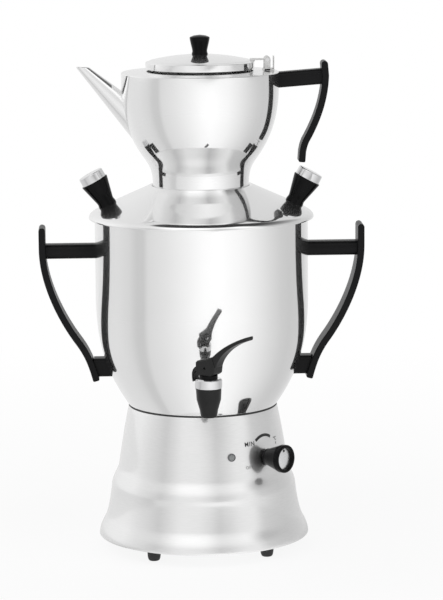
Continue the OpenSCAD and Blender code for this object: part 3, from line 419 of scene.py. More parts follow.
def piece(name: str, mesh: Mesh, look: "Look", body: Body, slot: str,
          nodes: Optional[Sequence[str]] = None, sharp: float = 35.0, flat: bool = False) -> None:
    """Makes an object of a mesh, dresses it and hands it to its body.

    Args:
        name: Name of the piece.
        mesh: Its mesh, in metres, in the shared frame.
        look: Its finish.
        body: Body that it rides on.
        slot: CAD node that it stands for and hides, where nodes is None.
        nodes: CAD nodes that it stands for, or None where that is the slot's own.
        sharp: Angle between faces above which an edge is drawn sharp, in degrees.
        flat: Whether large flat faces stay flat in the shading beside rounded edges.
    """
    data = bpy.data.meshes.new(name)
    limit = math.radians(sharp)
    for face in mesh.faces:
        face.smooth = True
    for line in mesh.edges:
        line.smooth = len(line.link_faces) == 2 and line.calc_face_angle(0.0) < limit
    mesh.to_mesh(data)
    mesh.free()
    data.materials.append(look.material)
    made = linked(name, data)
    nodes = [slot] if nodes is None else nodes
    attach(made, body.value)
    if nodes:
        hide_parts(*nodes)
    if flat:
        made.modifiers.new("flat_faces", "WEIGHTED_NORMAL").keep_sharp = True
    LOG.info("%s: %d faces", name, len(data.polygons))


# ---- Shader maths and finishes ----


@dataclass
class Signal:
    """A socket's number in a node tree, with arithmetic that adds Math nodes."""

    sheet: "Sheet"
    socket: Optional[bpy.types.NodeSocket]

    def maths(self, operation: str, other: Any) -> "Signal":
        """Adds one Math node for this signal and another value or signal."""
        return self.sheet.add("Math", {0: self, 1: other}, operation=operation)

    def __add__(self, other: Any) -> "Signal":
        """Sum."""
        return self.maths("ADD", other)

    def __mul__(self, other: Any) -> "Signal":
        """Product."""
        return self.maths("MULTIPLY", other)

    def __truediv__(self, other: Any) -> "Signal":
        """Quotient."""
        return self.maths("DIVIDE", other)

    def __pow__(self, other: Any) -> "Signal":
        """Power."""
        return self.maths("POWER", other)


class Sheet:
    """Adds nodes to one node tree."""

    def __init__(self, tree: bpy.types.NodeTree) -> None:
        """Empties the tree."""
        self.tree = tree
        tree.nodes.clear()

    def add(self, kind: str, inputs: Optional[dict] = None, output: Any = 0,
            stops: Sequence[Point] = (), **settings: Any) -> Signal:
        """Adds a node.

        Args:
            kind: The node's type, without the word that all shader nodes start with.
            inputs: Values or signals for its sockets, by name or number.
            output: Name or number of the output that is returned.
            stops: Positions and greys of its ramp, where it has one.
            **settings: The node's own settings, set before its sockets.

        Returns:
            The signal of that output.
        """
        node = self.tree.nodes.new("ShaderNode" + kind)
        for name, value in settings.items():
            setattr(node, name, value)
        for index, (position, level) in enumerate(stops):
            ramp = node.color_ramp.elements
            stop = ramp[index] if index < len(ramp) else ramp.new(position)
            stop.position = position
            stop.color = (level, level, level, 1.0)
        for key, value in (inputs or {}).items():
            if isinstance(value, Signal):
                self.tree.links.new(value.socket, node.inputs[key])
            else:
                node.inputs[key].default_value = value
        return Signal(self, node.outputs[output] if len(node.outputs) else None)

    def axes(self, where: Signal) -> list[Signal]:
        """The X, Y and Z of coordinates."""
        return [self.add("SeparateXYZ", {0: where}, output=axis) for axis in "XYZ"]

    def noise(self, where: Signal, scale: float, detail: float = 3.0) -> Signal:
        """Noise around 0.5."""
        return self.add("TexNoise", {"Vector": where, "Scale": scale, "Detail": detail})

    def fitted(self, value: Signal, start: float, end: float, low: float = 0.0,
               high: float = 1.0) -> Signal:
        """Value from a first range carried over to a second one and held there."""
        return self.add("MapRange", {"Value": value, "From Min": start, "From Max": end,
                                     "To Min": low, "To Max": high}, clamp=True)

    def spread(self, noise: Signal, low: float, high: float) -> Signal:
        """Noise, which mostly lies between 0.3 and 0.7, spread to a range."""
        return self.fitted(noise, 0.3, 0.7, low, high)

    def blend(self, factor: Signal, first: Any, second: Any) -> Signal:
        """Colour between two colours or signals."""
        ends = [end if isinstance(end, Signal) else (*end, 1.0) for end in (first, second)]
        return self.add("Mix", {0: factor, 6: ends[0], 7: ends[1]}, output=2, data_type="RGBA")


@dataclass(frozen=True)
class Finish:
    """A finish as a base of one shader, with noise in its colour, gloss and relief."""

    name: str
    colour: Colour
    second: Colour
    rough: Point
    metal: float = 0.0
    grain: float = 900.0
    relief: float = 0.02
    strength: float = 0.2
    patch: float = 25.0
    coat: float = 0.0
    haze: Point = (0.0, 0.0)
    haze_rough: float = 0.3
    specular: float = 0.5

    def fine(self, sheet: Sheet, where: Signal) -> Signal:
        """Height of the fine relief."""
        return sheet.noise(where, self.grain, 4.0)

    def make(self) -> Material:
        """Builds the material from its colours, lobes and noise.

        Returns:
            The material.
        """
        made = bpy.data.materials.new(self.name)
        made.use_nodes = True
        sheet = Sheet(made.node_tree)
        where = sheet.add("TexCoord", output="Object")
        fine = self.fine(sheet, where)
        gloss = sheet.noise(where, self.patch) * 0.6 + fine * 0.4
        inputs = {
            "Base Color": sheet.blend(sheet.spread(gloss, 0.0, 1.0), self.colour, self.second),
            "Roughness": sheet.spread(gloss, *self.rough),
            "Metallic": self.metal,
            "Specular IOR Level": self.specular,
            "Coat Weight": self.coat,
            "Coat Roughness": 0.04,
            "Normal": sheet.add("Bump", {"Height": fine, "Strength": self.strength,
                                         "Distance": self.relief * MM}),
        }
        shader = sheet.add("BsdfPrincipled", inputs)
        if self.haze[1] > 0:
            broad = sheet.add("BsdfPrincipled", {**inputs, "Roughness": self.haze_rough})
            shader = sheet.add("MixShader", {0: sheet.spread(gloss, *self.haze), 1: shader,
                                             2: broad})
        sheet.add("OutputMaterial", {"Surface": shader})
        made.diffuse_color = (*self.colour, 1.0)
        return made


@dataclass(frozen=True)
class TurnedFinish(Finish):
    """A metal finish with fine lines round the upright axis, from spinning and polishing."""

    grain: float = 2600.0

    def fine(self, sheet: Sheet, where: Signal) -> Signal:
        """Makes lines that follow the height and radius, broken up round the axis.

        Args:
            sheet: The material's sheet.
            where: Object coordinates.

        Returns:
            The relief's height.
        """
        x, y, z = sheet.axes(where)
        turned = sheet.add("CombineXYZ", {0: y.maths("ARCTAN2", x) * 0.004,
                                          1: (x * x + y * y) ** 0.5, 2: z})
        return sheet.noise(turned, self.grain)


def grey(level: float) -> Colour:
    """Colour without a hue."""
    return (level, level, level)


class Look(Enum):
    """Every finish of the samovar."""

    MIRROR = TurnedFinish("mirror_steel", grey(0.86), grey(0.9), (0.04, 0.07), 1.0, relief=0.002,
                          strength=0.02, patch=18.0, haze=(0.12, 0.17), haze_rough=0.34)
    SATIN = TurnedFinish("satin_steel", grey(0.83), grey(0.87), (0.06, 0.1), 1.0, relief=0.002,
                         strength=0.03, patch=14.0, haze=(0.5, 0.6), haze_rough=0.36)
    CHROME = Finish("chrome_plate", (0.68, 0.68, 0.69), grey(0.74), (0.04, 0.08), 1.0,
                    grain=400.0, relief=0.003, strength=0.04)
    PLAIN_STEEL = Finish("plain_steel", grey(0.6), (0.68, 0.68, 0.67), (0.26, 0.38), 1.0,
                         grain=700.0, relief=0.01)
    ZINC = Finish("zinc_plate", (0.58, 0.59, 0.6), (0.68, 0.69, 0.7), (0.34, 0.48), 1.0,
                  grain=350.0, relief=0.01, patch=90.0)
    HEATED = Finish("heat_tinted_steel", (0.2, 0.17, 0.14), (0.38, 0.34, 0.29), (0.35, 0.5), 1.0,
                    grain=600.0, patch=60.0)
    BRASS = Finish("brass", (0.66, 0.47, 0.17), (0.75, 0.56, 0.24), (0.22, 0.34), 1.0,
                   grain=500.0, relief=0.01)
    COPPER = Finish("copper", (0.62, 0.3, 0.17), (0.72, 0.38, 0.22), (0.22, 0.38), 1.0,
                    grain=500.0, relief=0.01)
    INSERT = TurnedFinish("spun_aluminium", (0.8, 0.81, 0.82), (0.86, 0.87, 0.87), (0.22, 0.3),
                          1.0, relief=0.01)
    PHENOLIC = Finish("satin_black_phenolic", (0.004, 0.004, 0.0045), (0.009, 0.009, 0.0095),
                      (0.3, 0.4), grain=1500.0, strength=0.16, patch=30.0, specular=0.12)
    GLOSS_BLACK = Finish("gloss_black_plastic", grey(0.002), (0.005, 0.005, 0.0055), (0.09, 0.16),
                         relief=0.008, strength=0.08, patch=40.0, specular=0.1)
    TAP_BLACK = Finish("satin_black_nylon", grey(0.015), grey(0.024), (0.26, 0.36), grain=1300.0,
                       relief=0.012, strength=0.12, patch=35.0, specular=0.16)
    CERAMIC = Finish("white_ceramic", (0.72, 0.7, 0.64), (0.8, 0.78, 0.73), (0.3, 0.45),
                     grain=500.0)
    SILICONE = Finish("pale_silicone", (0.62, 0.61, 0.57), (0.7, 0.69, 0.66), (0.4, 0.52),
                      grain=400.0, relief=0.01)
    RUBBER = Finish("black_rubber", grey(0.014), grey(0.026), (0.5, 0.65), grain=1100.0,
                    relief=0.03, strength=0.3)
    SLEEVE = Finish("red_brown_sleeve", (0.28, 0.05, 0.03), (0.36, 0.08, 0.05), (0.4, 0.5),
                    grain=1400.0)
    LENS = Finish("grey_lens", (0.2, 0.21, 0.21), (0.3, 0.31, 0.31), (0.08, 0.14), grain=600.0,
                  relief=0.01, coat=0.5)
    BEZEL = Finish("dark_chrome", (0.16, 0.16, 0.17), grey(0.22), (0.2, 0.3), 1.0, grain=600.0,
                   relief=0.004)
    PRINT_BLACK = Finish("black_print", grey(0.01), grey(0.02), (0.42, 0.55), grain=1800.0,
                         relief=0.004)
    PRINT_GREY = Finish("grey_print", grey(0.16), grey(0.22), (0.42, 0.55), grain=1800.0,
                        relief=0.004)

    @cached_property
    def material(self) -> Material:
        """The finish's material, made at its first use."""
        return self.value.make()


BARE_NODES = {
    Look.PLAIN_STEEL: "tie_rods tie_nuts cutout_clip thermostat_shaft handle_screws tap_boss "
                      "tap_nut tap_stem lid_ring lid_knob_screws teapot_handle_screws "
                      "teapot_lid_skirt teapot_knob_screw foot_screws",
    Look.ZINC: "bottom_plate heat_shield thermostat_bracket tap_spring",
    Look.HEATED: "heating_element",
    Look.BRASS: "element_nuts thermostat_nut earth_stud",
    Look.COPPER: "capillary_tube",
    Look.CERAMIC: "thermal_cutout thermostat_body terminal_block",
    Look.SILICONE: "tap_gasket tap_seat_cup",
    Look.RUBBER: "seam_ring element_seals cord_gland gland_nut",
    Look.GLOSS_BLACK: "tap_swivel",
    Look.SLEEVE: "wiring",
    Look.CHROME: "hinge_pin lever_pin",
}


def dress_bare_nodes() -> None:
    """Gives every CAD node that stays its material."""
    for look, names in BARE_NODES.items():
        for name in names.split():
            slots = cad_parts[name].data.materials
            slots.clear()
            slots.append(look.material)


# ---- Boiler ----


@dataclass
class Boiler:
    """Tank, base and lid: three spun steel shells on one axis."""

    wall_r: float = 102.3
    foot_r: float = 71.7
    floor_z: float = 142.0
    shoulder_z: float = 247.0
    rim_z: float = 327.9
    sheet: float = 1.0
    bead_r: float = 1.5
    base_r: float = 101.7
    base_z: float = 14.0
    base_sheet: float = 1.2
    seam_h: float = 1.4
    lid_r: float = 107.9
    brim_h: float = 5.4
    seat_z: float = 351.5
    steam_r: float = 28.0
    pot_foot_r: float = 46.1
    ridge_h: float = 2.6
    foot_ring: float = 77.0
    foot_angle: float = 49.5
    stud_r: float = 6.4
    stud_hole: float = 3.8
    steps: int = 144

    def tank_wall(self) -> list[Point]:
        """Draws the outer side of the tank.

        Returns:
            Radii and heights from its floor to its shoulder.
        """
        foot, floor, wall, shoulder = self.foot_r, self.floor_z, self.wall_r, self.shoulder_z
        return bezier((foot, floor), (foot + 21.3, floor + 30.5), (wall, shoulder - 45),
                      (wall, shoulder), 40)

    def base_wall(self) -> list[Point]:
        """Draws the wavy outer side of the base.

        Returns:
            Radii and heights from its bottom edge to the tank's foot.
        """
        r, z = self.base_r, self.base_z
        waist_r, waist_z = self.foot_r, self.floor_z - self.seam_h
        return chain((r, z),
                     ((r - 0.4, z + 8), (r - 4.4, z + 12.5), (r - 7, z + 19), 14),
                     ((r - 8.8, z + 24), (r - 11.6, z + 37.4), (r - 12.5, z + 48.4), 14),
                     ((r - 13.2, z + 56.4), (r - 18.5, z + 62), (r - 19.5, z + 68), 14),
                     ((r - 21.4, z + 78), (waist_r + 5.4, waist_z - 24), (waist_r, waist_z), 14))

    def lid_top(self) -> list[Point]:
        """Draws the top side of the lid.

        Returns:
            Radii and heights from the steam hole to the brim's edge.
        """
        hole, seat, out = self.steam_r, self.seat_z, self.lid_r
        ridge, crest = self.pot_foot_r + 2.6, seat + self.ridge_h
        edge, hem = (out - 9.5, self.rim_z + 3.7), self.rim_z - self.brim_h
        return (rounded([(hole, seat - 7), (hole, seat), (self.pot_foot_r + 0.3, seat)], 1.2, 5)
                + bezier((ridge - 1.6, crest - 0.4), (ridge - 0.6, crest), (ridge + 0.4, crest),
                         (ridge + 1.4, crest - 0.4), 6)
                + chain((ridge + 3, crest - 1.2), ((62, crest - 6), (82, crest - 14.7), edge, 40),
                        ((edge[0] + 5, edge[1] - 2.4), (out, hem + 4.6), (out, hem + 0.7), 16))
                + [(out - 0.25, hem + 0.2), (out - 0.8, hem)])

    def build_tank(self) -> None:
        """Makes the tank with its rolled rim and floor."""
        wall, low, high = self.tank_wall(), self.floor_z, self.floor_z + self.sheet
        inside = offset(wall, -self.sheet)
        roll = arc((self.wall_r + 0.4, self.rim_z - self.bead_r), (self.bead_r, self.bead_r),
                   range(-105, 160, 15))
        profile = (rounded([(0, low), (self.foot_r, low)] + wall[1:], 0.8, 3) + roll
                   + [(self.wall_r - self.sheet, self.rim_z - 1.6)]
                   + [p for p in inside if p[1] > high + 0.4][::-1]
                   + [(read_off(inside, high), high), (0, high)])
        piece("tank_wall", lathe(profile, self.steps), Look.MIRROR, Body.BOILER, "tank_shell",
              flat=True)

    def build_base(self) -> None:
        """Makes the satin base shell with its turned-in edges."""
        wall, sheet = self.base_wall(), self.base_sheet
        top, low, lip = self.floor_z - self.seam_h, self.base_z + sheet, self.base_r - 8
        inside = [p for p in offset(wall, -sheet) if low < p[1] < top - sheet]
        profile = (wall + [(self.foot_r - 4, top), (self.foot_r - 4, top - sheet)] + inside[::-1]
                   + [(self.base_r - sheet - 0.2, low), (lip, low), (lip, self.base_z)])
        piece("base_wall", lathe(rounded(profile, 0.7, 3, True, 40), self.steps, True),
              Look.SATIN, Body.BOILER, "base_shell")

    def build_feet(self) -> None:
        """Makes the four rounded rubber feet, hollow round their screws."""
        top, hole, out = self.base_z + self.base_sheet, self.stud_hole, self.stud_r
        profile = ([(hole, 0.3), (hole + 0.3, 0)]
                   + bezier((hole + 0.5, 0), (out - 0.6, 0.5), (out, 3.6), (out, 8.5), 12)
                   + [(out, top), (1.9, top), (1.9, 9), (hole + 0.8, 9), (hole + 0.8, 3),
                      (hole, 3)])
        spots = [place((0, 0, 0), (self.foot_angle + turn, "Z"))
                 @ place((0, -self.foot_ring, 0)) for turn in (0, 90, 180, 270)]
        piece("feet", merged(moved(lathe(profile, 48, True), spot) for spot in spots),
              Look.RUBBER, Body.BOILER, "rubber_feet")

    def build_lid(self) -> None:
        """Makes the steam lid with its seat, ridge and brim."""
        top = self.lid_top()
        profile = top + offset(top, self.sheet)[::-1]
        piece("steam_lid", lathe(profile, self.steps, True), Look.MIRROR, Body.TANK_LID,
              "lid_shell", flat=True)


@dataclass
class LidKnobs:
    """Two black knobs with chrome caps, leaning outwards on the lid."""

    boiler: Boiler
    reach: float = 89.6
    tilt: float = 28.5
    length: float = 26.0
    top_r: float = 13.3
    neck_r: float = 8.2
    foot_r: float = 8.8
    sink: float = 0.7
    cap_r: float = 12.6
    cap_h: float = 8.2

    def build(self) -> None:
        """Makes the knobs and their caps."""
        foot, neck, top, end = self.foot_r, self.neck_r, self.top_r, self.length
        body = [(0, -self.sink), (foot, -self.sink), (foot, 0.8), (neck, 3.6), (neck + 0.1, 5),
                (top, end - 1), (top, end), (0, end)]
        cap = [(0, end), (self.cap_r, end), (self.cap_r - 0.3, end + 1),
               (self.cap_r - 0.5, end + self.cap_h), (0, end + self.cap_h)]
        height = read_off(self.boiler.lid_top(), self.reach, 0)
        spots = [place((0, 0, 0), (angle, "Z")) @ place((self.reach, 0, height), (self.tilt, "Y"))
                 for angle in (0.0, 180.0)]
        for name, profile, look, node in (
                ("lid_knob_grips", rounded(body, 0.9, 4), Look.GLOSS_BLACK, "lid_knobs"),
                ("lid_knob_tops", rounded(cap, 1.4, 5), Look.CHROME, "lid_knob_caps")):
            piece(name, merged(moved(lathe(profile, 64), spot) for spot in spots), look,
                  Body.TANK_LID, node)


@dataclass
class SideGrips:
    """The two black grips on the boiler, each a strap on an arm and a lug."""

    boiler: Boiler
    reach: float = 156.0
    thickness: float = 6.4
    width: float = 30.0
    top_z: float = 315.4
    end_z: float = 165.4
    arm_z: float = 291.6
    arm_h: float = 14.0
    arm_w: float = 20.0
    lug_z: float = 178.4
    lug_h: float = 18.0

    def outer(self) -> list[Point]:
        """Draws the outer side of the grip.

        Returns:
            The points from its top to its free end.
        """
        out, arm, end = self.reach, self.arm_z, self.end_z
        elbow = (out - 34.5, end + 36.6)
        return [(out, self.top_z - 3)] + chain(
            (out, arm + 3.4),
            ((out, arm - 29.6), (elbow[0] + 17.5, elbow[1] + 24), elbow, 24),
            ((elbow[0] - 7.5, elbow[1] - 10.5), (out - 46, end + 16.6), (out - 50.3, end), 14))

    def build(self) -> None:
        """Makes both grips."""
        wall = self.boiler.tank_wall()
        for side, sign in (("right", 1), ("left", -1)):
            whole = merged([strap(self.outer(), self.thickness, self.width, 2.2, 2.6)] + [
                beam(oblong(self.arm_w, height, centre, edge), self.reach - short,
                     lambda z: read_off(wall, z))
                for height, centre, edge, short in (
                    (self.arm_h, self.arm_z, 6.6, self.thickness - 2),
                    (self.lug_h, self.lug_z, 5, 51.3))])
            piece(f"side_grip_{side}", moved(whole, Matrix.Diagonal((sign, 1, 1, 1))),
                  Look.PHENOLIC, Body.BOILER, f"handle_{side}", sharp=42, flat=True)


# ---- Tap ----


@dataclass
class Tap:
    """Swivelling lever tap: black body, chrome bonnet and a rocking lever."""

    reach: float = 153.0
    axis_z: float = 175.4
    outlet_z: float = 157.9
    outlet_r: float = 7.3
    body_r: float = 11.65
    top_z: float = 184.9
    way_r: float = 4.6
    bonnet_r: float = 12.35
    bonnet_h: float = 9.3
    swivel_h: float = 2.9
    bonnet_hole: float = 2.55
    shank_r: float = 8.5
    shank_y: float = 98.5
    lever_angle: float = 54.0
    lever_reach: float = 45.0
    lever_rise: float = 32.5
    paddle_w: float = 13.0
    hub_w: float = 15.0
    heel_w: float = 10.0
    rock_half: float = 6.5
    pin_rise: float = 7.0

    def build_body(self) -> None:
        """Makes the black body with its outlet and shank."""
        axis, mouth, top, way, out = self.axis_z, self.outlet_z, self.top_z, self.way_r, self.body_r
        profile = [(0, axis - way), (way, axis - way), (way, mouth), (self.outlet_r, mouth),
                   (self.outlet_r + 1.2, mouth + 7), (out - 0.4, axis - 1), (out, top - 3),
                   (out, top), (0, top)]
        upright = moved(lathe(rounded(profile, 0.8, 4), 72), place((0, -self.reach, 0)))
        shank, length = self.shank_r, self.reach - self.shank_y - 6
        ring = [(0, 0), (shank + 1.5, 0), (shank + 1.5, 3), (shank, 3.6), (shank, length),
                (0, length)]
        level = moved(lathe(rounded(ring, 0.6, 3), 64), place((0, -self.shank_y, axis), (90, "X")))
        piece("tap_housing", merged([upright, level]), Look.TAP_BLACK, Body.BOILER, "tap_body")

    def build_bonnet(self) -> None:
        """Makes the chrome bonnet ring."""
        low, hole, out = self.top_z, self.bonnet_hole, self.bonnet_r
        high = low + self.bonnet_h
        profile = [(hole, low), (out - 0.6, low), (out, low + 0.9), (out, high - 1.4),
                   (out - 1.3, high), (hole, high)]
        ring = lathe(rounded(profile, 0.9, 5, True, 20), 96, True)
        piece("tap_bonnet_ring", moved(ring, place((0, -self.reach, 0))), Look.CHROME,
              Body.BOILER, "tap_bonnet")

    def build_lever(self) -> None:
        """Makes the lever's arm, hub and heel."""
        bonnet = self.top_z + self.bonnet_h
        washer = bonnet + self.swivel_h
        pin = washer + self.pin_rise
        end, tip = self.lever_reach, pin + self.lever_rise
        arm = ([(-9, washer + 9), (9, washer + 8)]
               + bezier((11.5, pin + 1), (13.5, pin + 10), (24, tip - 10), (end, tip - 3.8), 22)
               + bezier((end, tip), (31, tip - 5), (18.5, tip - 11.5), (8, pin + 11.2), 22)
               + [(0, pin + 8.4), (-9.5, pin + 6.2)])
        hub = [(-self.rock_half, washer), (self.rock_half, washer), (10.2, washer + 2.4),
               (11, pin + 2), (8, pin + 10.4), (0, pin + 7.6), (-9.5, pin + 5.4),
               (-9.5, washer + 5), (-8, washer + 0.9)]
        low = bonnet - 4
        heel = (bezier((-8, pin + 1.5), (-13, pin + 0.5), (-17.2, low + 11), (-14.6, low), 16)
                + bezier((-13.5, low + 0.3), (-14.9, low + 8), (-12.2, washer + 3.5),
                         (-8, washer + 4), 16))
        whole = merged([slab(arm, self.paddle_w, 1.3, 4, 40), slab(hub, self.hub_w, 0.9, 3, 20),
                        slab(heel, self.heel_w, 0.5, 3, 40)])
        spot = place((0, -self.reach, 0), (self.lever_angle - 90, "Z"))
        piece("tap_lever_moulding", moved(whole, spot), Look.TAP_BLACK, Body.LEVER, "tap_lever",
              sharp=42, flat=True)


# ---- Thermostat knob, its printed scale and the pilot lamp ----


@dataclass
class Controls:
    """Thermostat knob, the scale printed round it and the pilot lamp."""

    boiler: Boiler
    dial_angle: float = 47.0
    dial_z: float = 98.4
    dial_tilt: float = 2.0
    length: float = 24.5
    face_r: float = 13.4
    root_r: float = 8.2
    root_gap: float = 1.5
    insert_r: float = 10.25
    insert_sink: float = 2.6
    scale_z: float = 100.4
    scale_r: tuple[float, float] = (17.2, 19.9)
    ink: float = 0.04
    lamp_angle: float = 17.7
    lamp_z: float = 102.4
    lamp_tilt: float = 6.0
    lamp_r: float = 3.9

    def spot(self, angle: float, height: float, tilt: float) -> Matrix:
        """Place on the base's wall, with Z pointing outwards and Y up."""
        radius = read_off(self.boiler.base_wall(), height)
        return place((0, 0, 0), (angle, "Z")) @ place((0, -radius, height), (90 - tilt, "X"))

    def build_knob(self) -> None:
        """Makes the black knob, its light insert and the index dot."""
        spot = self.spot(self.dial_angle, self.dial_z, self.dial_tilt)
        root, out, rim, foot, disc_r = (self.root_r, self.face_r, self.length, self.root_gap,
                                        self.insert_r)
        face = rim - self.insert_sink
        body = [(0, foot), (root, foot), (root, foot + 2.4), (out - 0.9, rim - 7.5),
                (out, rim - 5), (out, rim), (disc_r, rim), (disc_r, face - 1.1), (0, face - 1.1)]
        disc = [(0, face - 1.1), (disc_r - 0.05, face - 1.1), (disc_r - 0.05, face), (0, face)]
        dot = [(0, face - 0.2), (1.4, face - 0.2), (1.4, face + 0.12), (0, face + 0.12)]
        for name, mesh, look, nodes in (
                ("dial_grip", lathe(rounded(body, 1.2, 5, False, 18), 80), Look.GLOSS_BLACK,
                 ["dial_knob"]),
                ("dial_face", lathe(rounded(disc, 0.3, 2), 64), Look.INSERT, ["dial_insert"]),
                ("dial_dot", moved(lathe(dot, 24), place((0, disc_r - 2.6, 0))),
                 Look.PRINT_BLACK, [])):
            piece(name, moved(mesh, spot), look, Body.DIAL, (nodes or ["dial_insert"])[0], nodes)

    def build_lamp(self) -> None:
        """Makes the pilot lamp's bezel and domed lens."""
        spot, r = self.spot(self.lamp_angle, self.lamp_z, self.lamp_tilt), self.lamp_r
        bezel = [(0, -15), (r - 0.6, -15), (r - 0.6, 0.15), (r, 0.15), (r, 0.9), (r - 0.4, 1.3),
                 (r - 1, 1.3), (r - 1, -5.5), (0, -5.5)]
        lens = ([(0, -5.4), (r - 1.05, -5.4)] + arc((0, 1.1), (r - 1.05, 1.3), range(0, 90, 10))
                + [(0, 2.4)])
        piece("lamp_bezel", moved(lathe(rounded(bezel, 0.2, 2), 48), spot), Look.BEZEL,
              Body.BOILER, "lamp_body")
        piece("lamp_window", moved(lathe(lens, 48), spot), Look.LENS, Body.BOILER, "lamp_lens")

    def printed(self, name: str, mesh: Mesh, look: Look = Look.PRINT_BLACK) -> None:
        """Lays a flat mark onto the base's wall.

        Args:
            name: Name of the piece.
            mesh: The mark, in millimetres about the scale's centre.
            look: Its finish.
        """
        wall = self.boiler.base_wall()
        for vert in mesh.verts:
            height = self.scale_z + vert.co.y
            radius = read_off(wall, height)
            angle = math.radians(self.dial_angle) + vert.co.x / radius
            radius += 0.05 + vert.co.z
            vert.co = Vector((radius * math.sin(angle), -radius * math.cos(angle), height)) * MM
        bmesh.ops.recalc_face_normals(mesh, faces=mesh.faces)
        piece(name, mesh, look, Body.BOILER, "dial_knob", [])

    def build_scale(self) -> None:
        """Prints the arc, the tick and the generic marks round the knob."""
        ink, (near, far) = self.ink, self.scale_r
        band = bmesh.new()
        verts = [band.verts.new((0, r, z)) for r, z in ((near, 0), (far, 0), (far, ink),
                                                        (near, ink))]
        edges = [band.edges.new((verts[i], verts[(i + 1) % 4])) for i in range(4)]
        bmesh.ops.rotate(band, verts=band.verts, cent=(0, 0, 0),
                         matrix=Matrix.Rotation(math.radians(38), 3, "Z"))
        bmesh.ops.spin(band, geom=verts + edges, cent=(0, 0, 0), axis=(0, 0, -1),
                       angle=math.radians(71), steps=32)
        bmesh.ops.holes_fill(band, edges=band.edges, sides=4)
        self.printed("scale_arc", band)
        tick = bmesh.new()
        bmesh.ops.create_cube(tick, size=1.0)
        bmesh.ops.scale(tick, vec=(0.9, 2.2, ink), verts=tick.verts)
        bmesh.ops.translate(tick, vec=(19.0, 8.0, ink / 2), verts=tick.verts)
        self.printed("scale_tick", tick)
        for name, text, angle, radius, size, look in (
                ("scale_min", "MIN", -57, 22.8, 6.0, Look.PRINT_BLACK),
                ("scale_unit", "°C", 56, 21.8, 5.0, Look.PRINT_BLACK),
                ("scale_off", "OFF", -112, 24.6, 4.2, Look.PRINT_GREY)):
            turn = math.radians(angle)
            mark = lettering(text, size, ink)
            bmesh.ops.translate(mark, vec=(radius * math.sin(turn), radius * math.cos(turn),
                                           ink / 2), verts=mark.verts)
            self.printed(name, mark, look)


def lettering(text: str, size: float, depth: float) -> Mesh:
    """Makes flat letters about the origin.

    Args:
        text: The letters.
        size: Size of the type, in millimetres.
        depth: Thickness of the ink, in millimetres.

    Returns:
        A closed mesh in millimetres.
    """
    curve = bpy.data.curves.new("mark", "FONT")
    curve.body, curve.size, curve.extrude, curve.resolution_u = text, size, depth / 2, 3
    curve.space_character = 1.15
    curve.align_x, curve.align_y, curve.offset = "CENTER", "CENTER", size * 0.012
    holder = linked("mark", curve)
    mesh = bmesh.new()
    mesh.from_mesh(holder.evaluated_get(bpy.context.evaluated_depsgraph_get()).to_mesh())
    bpy.data.objects.remove(holder)
    bpy.data.curves.remove(curve)
    bmesh.ops.remove_doubles(mesh, verts=mesh.verts, dist=1e-4)
    return mesh


# ---- Teapot ----


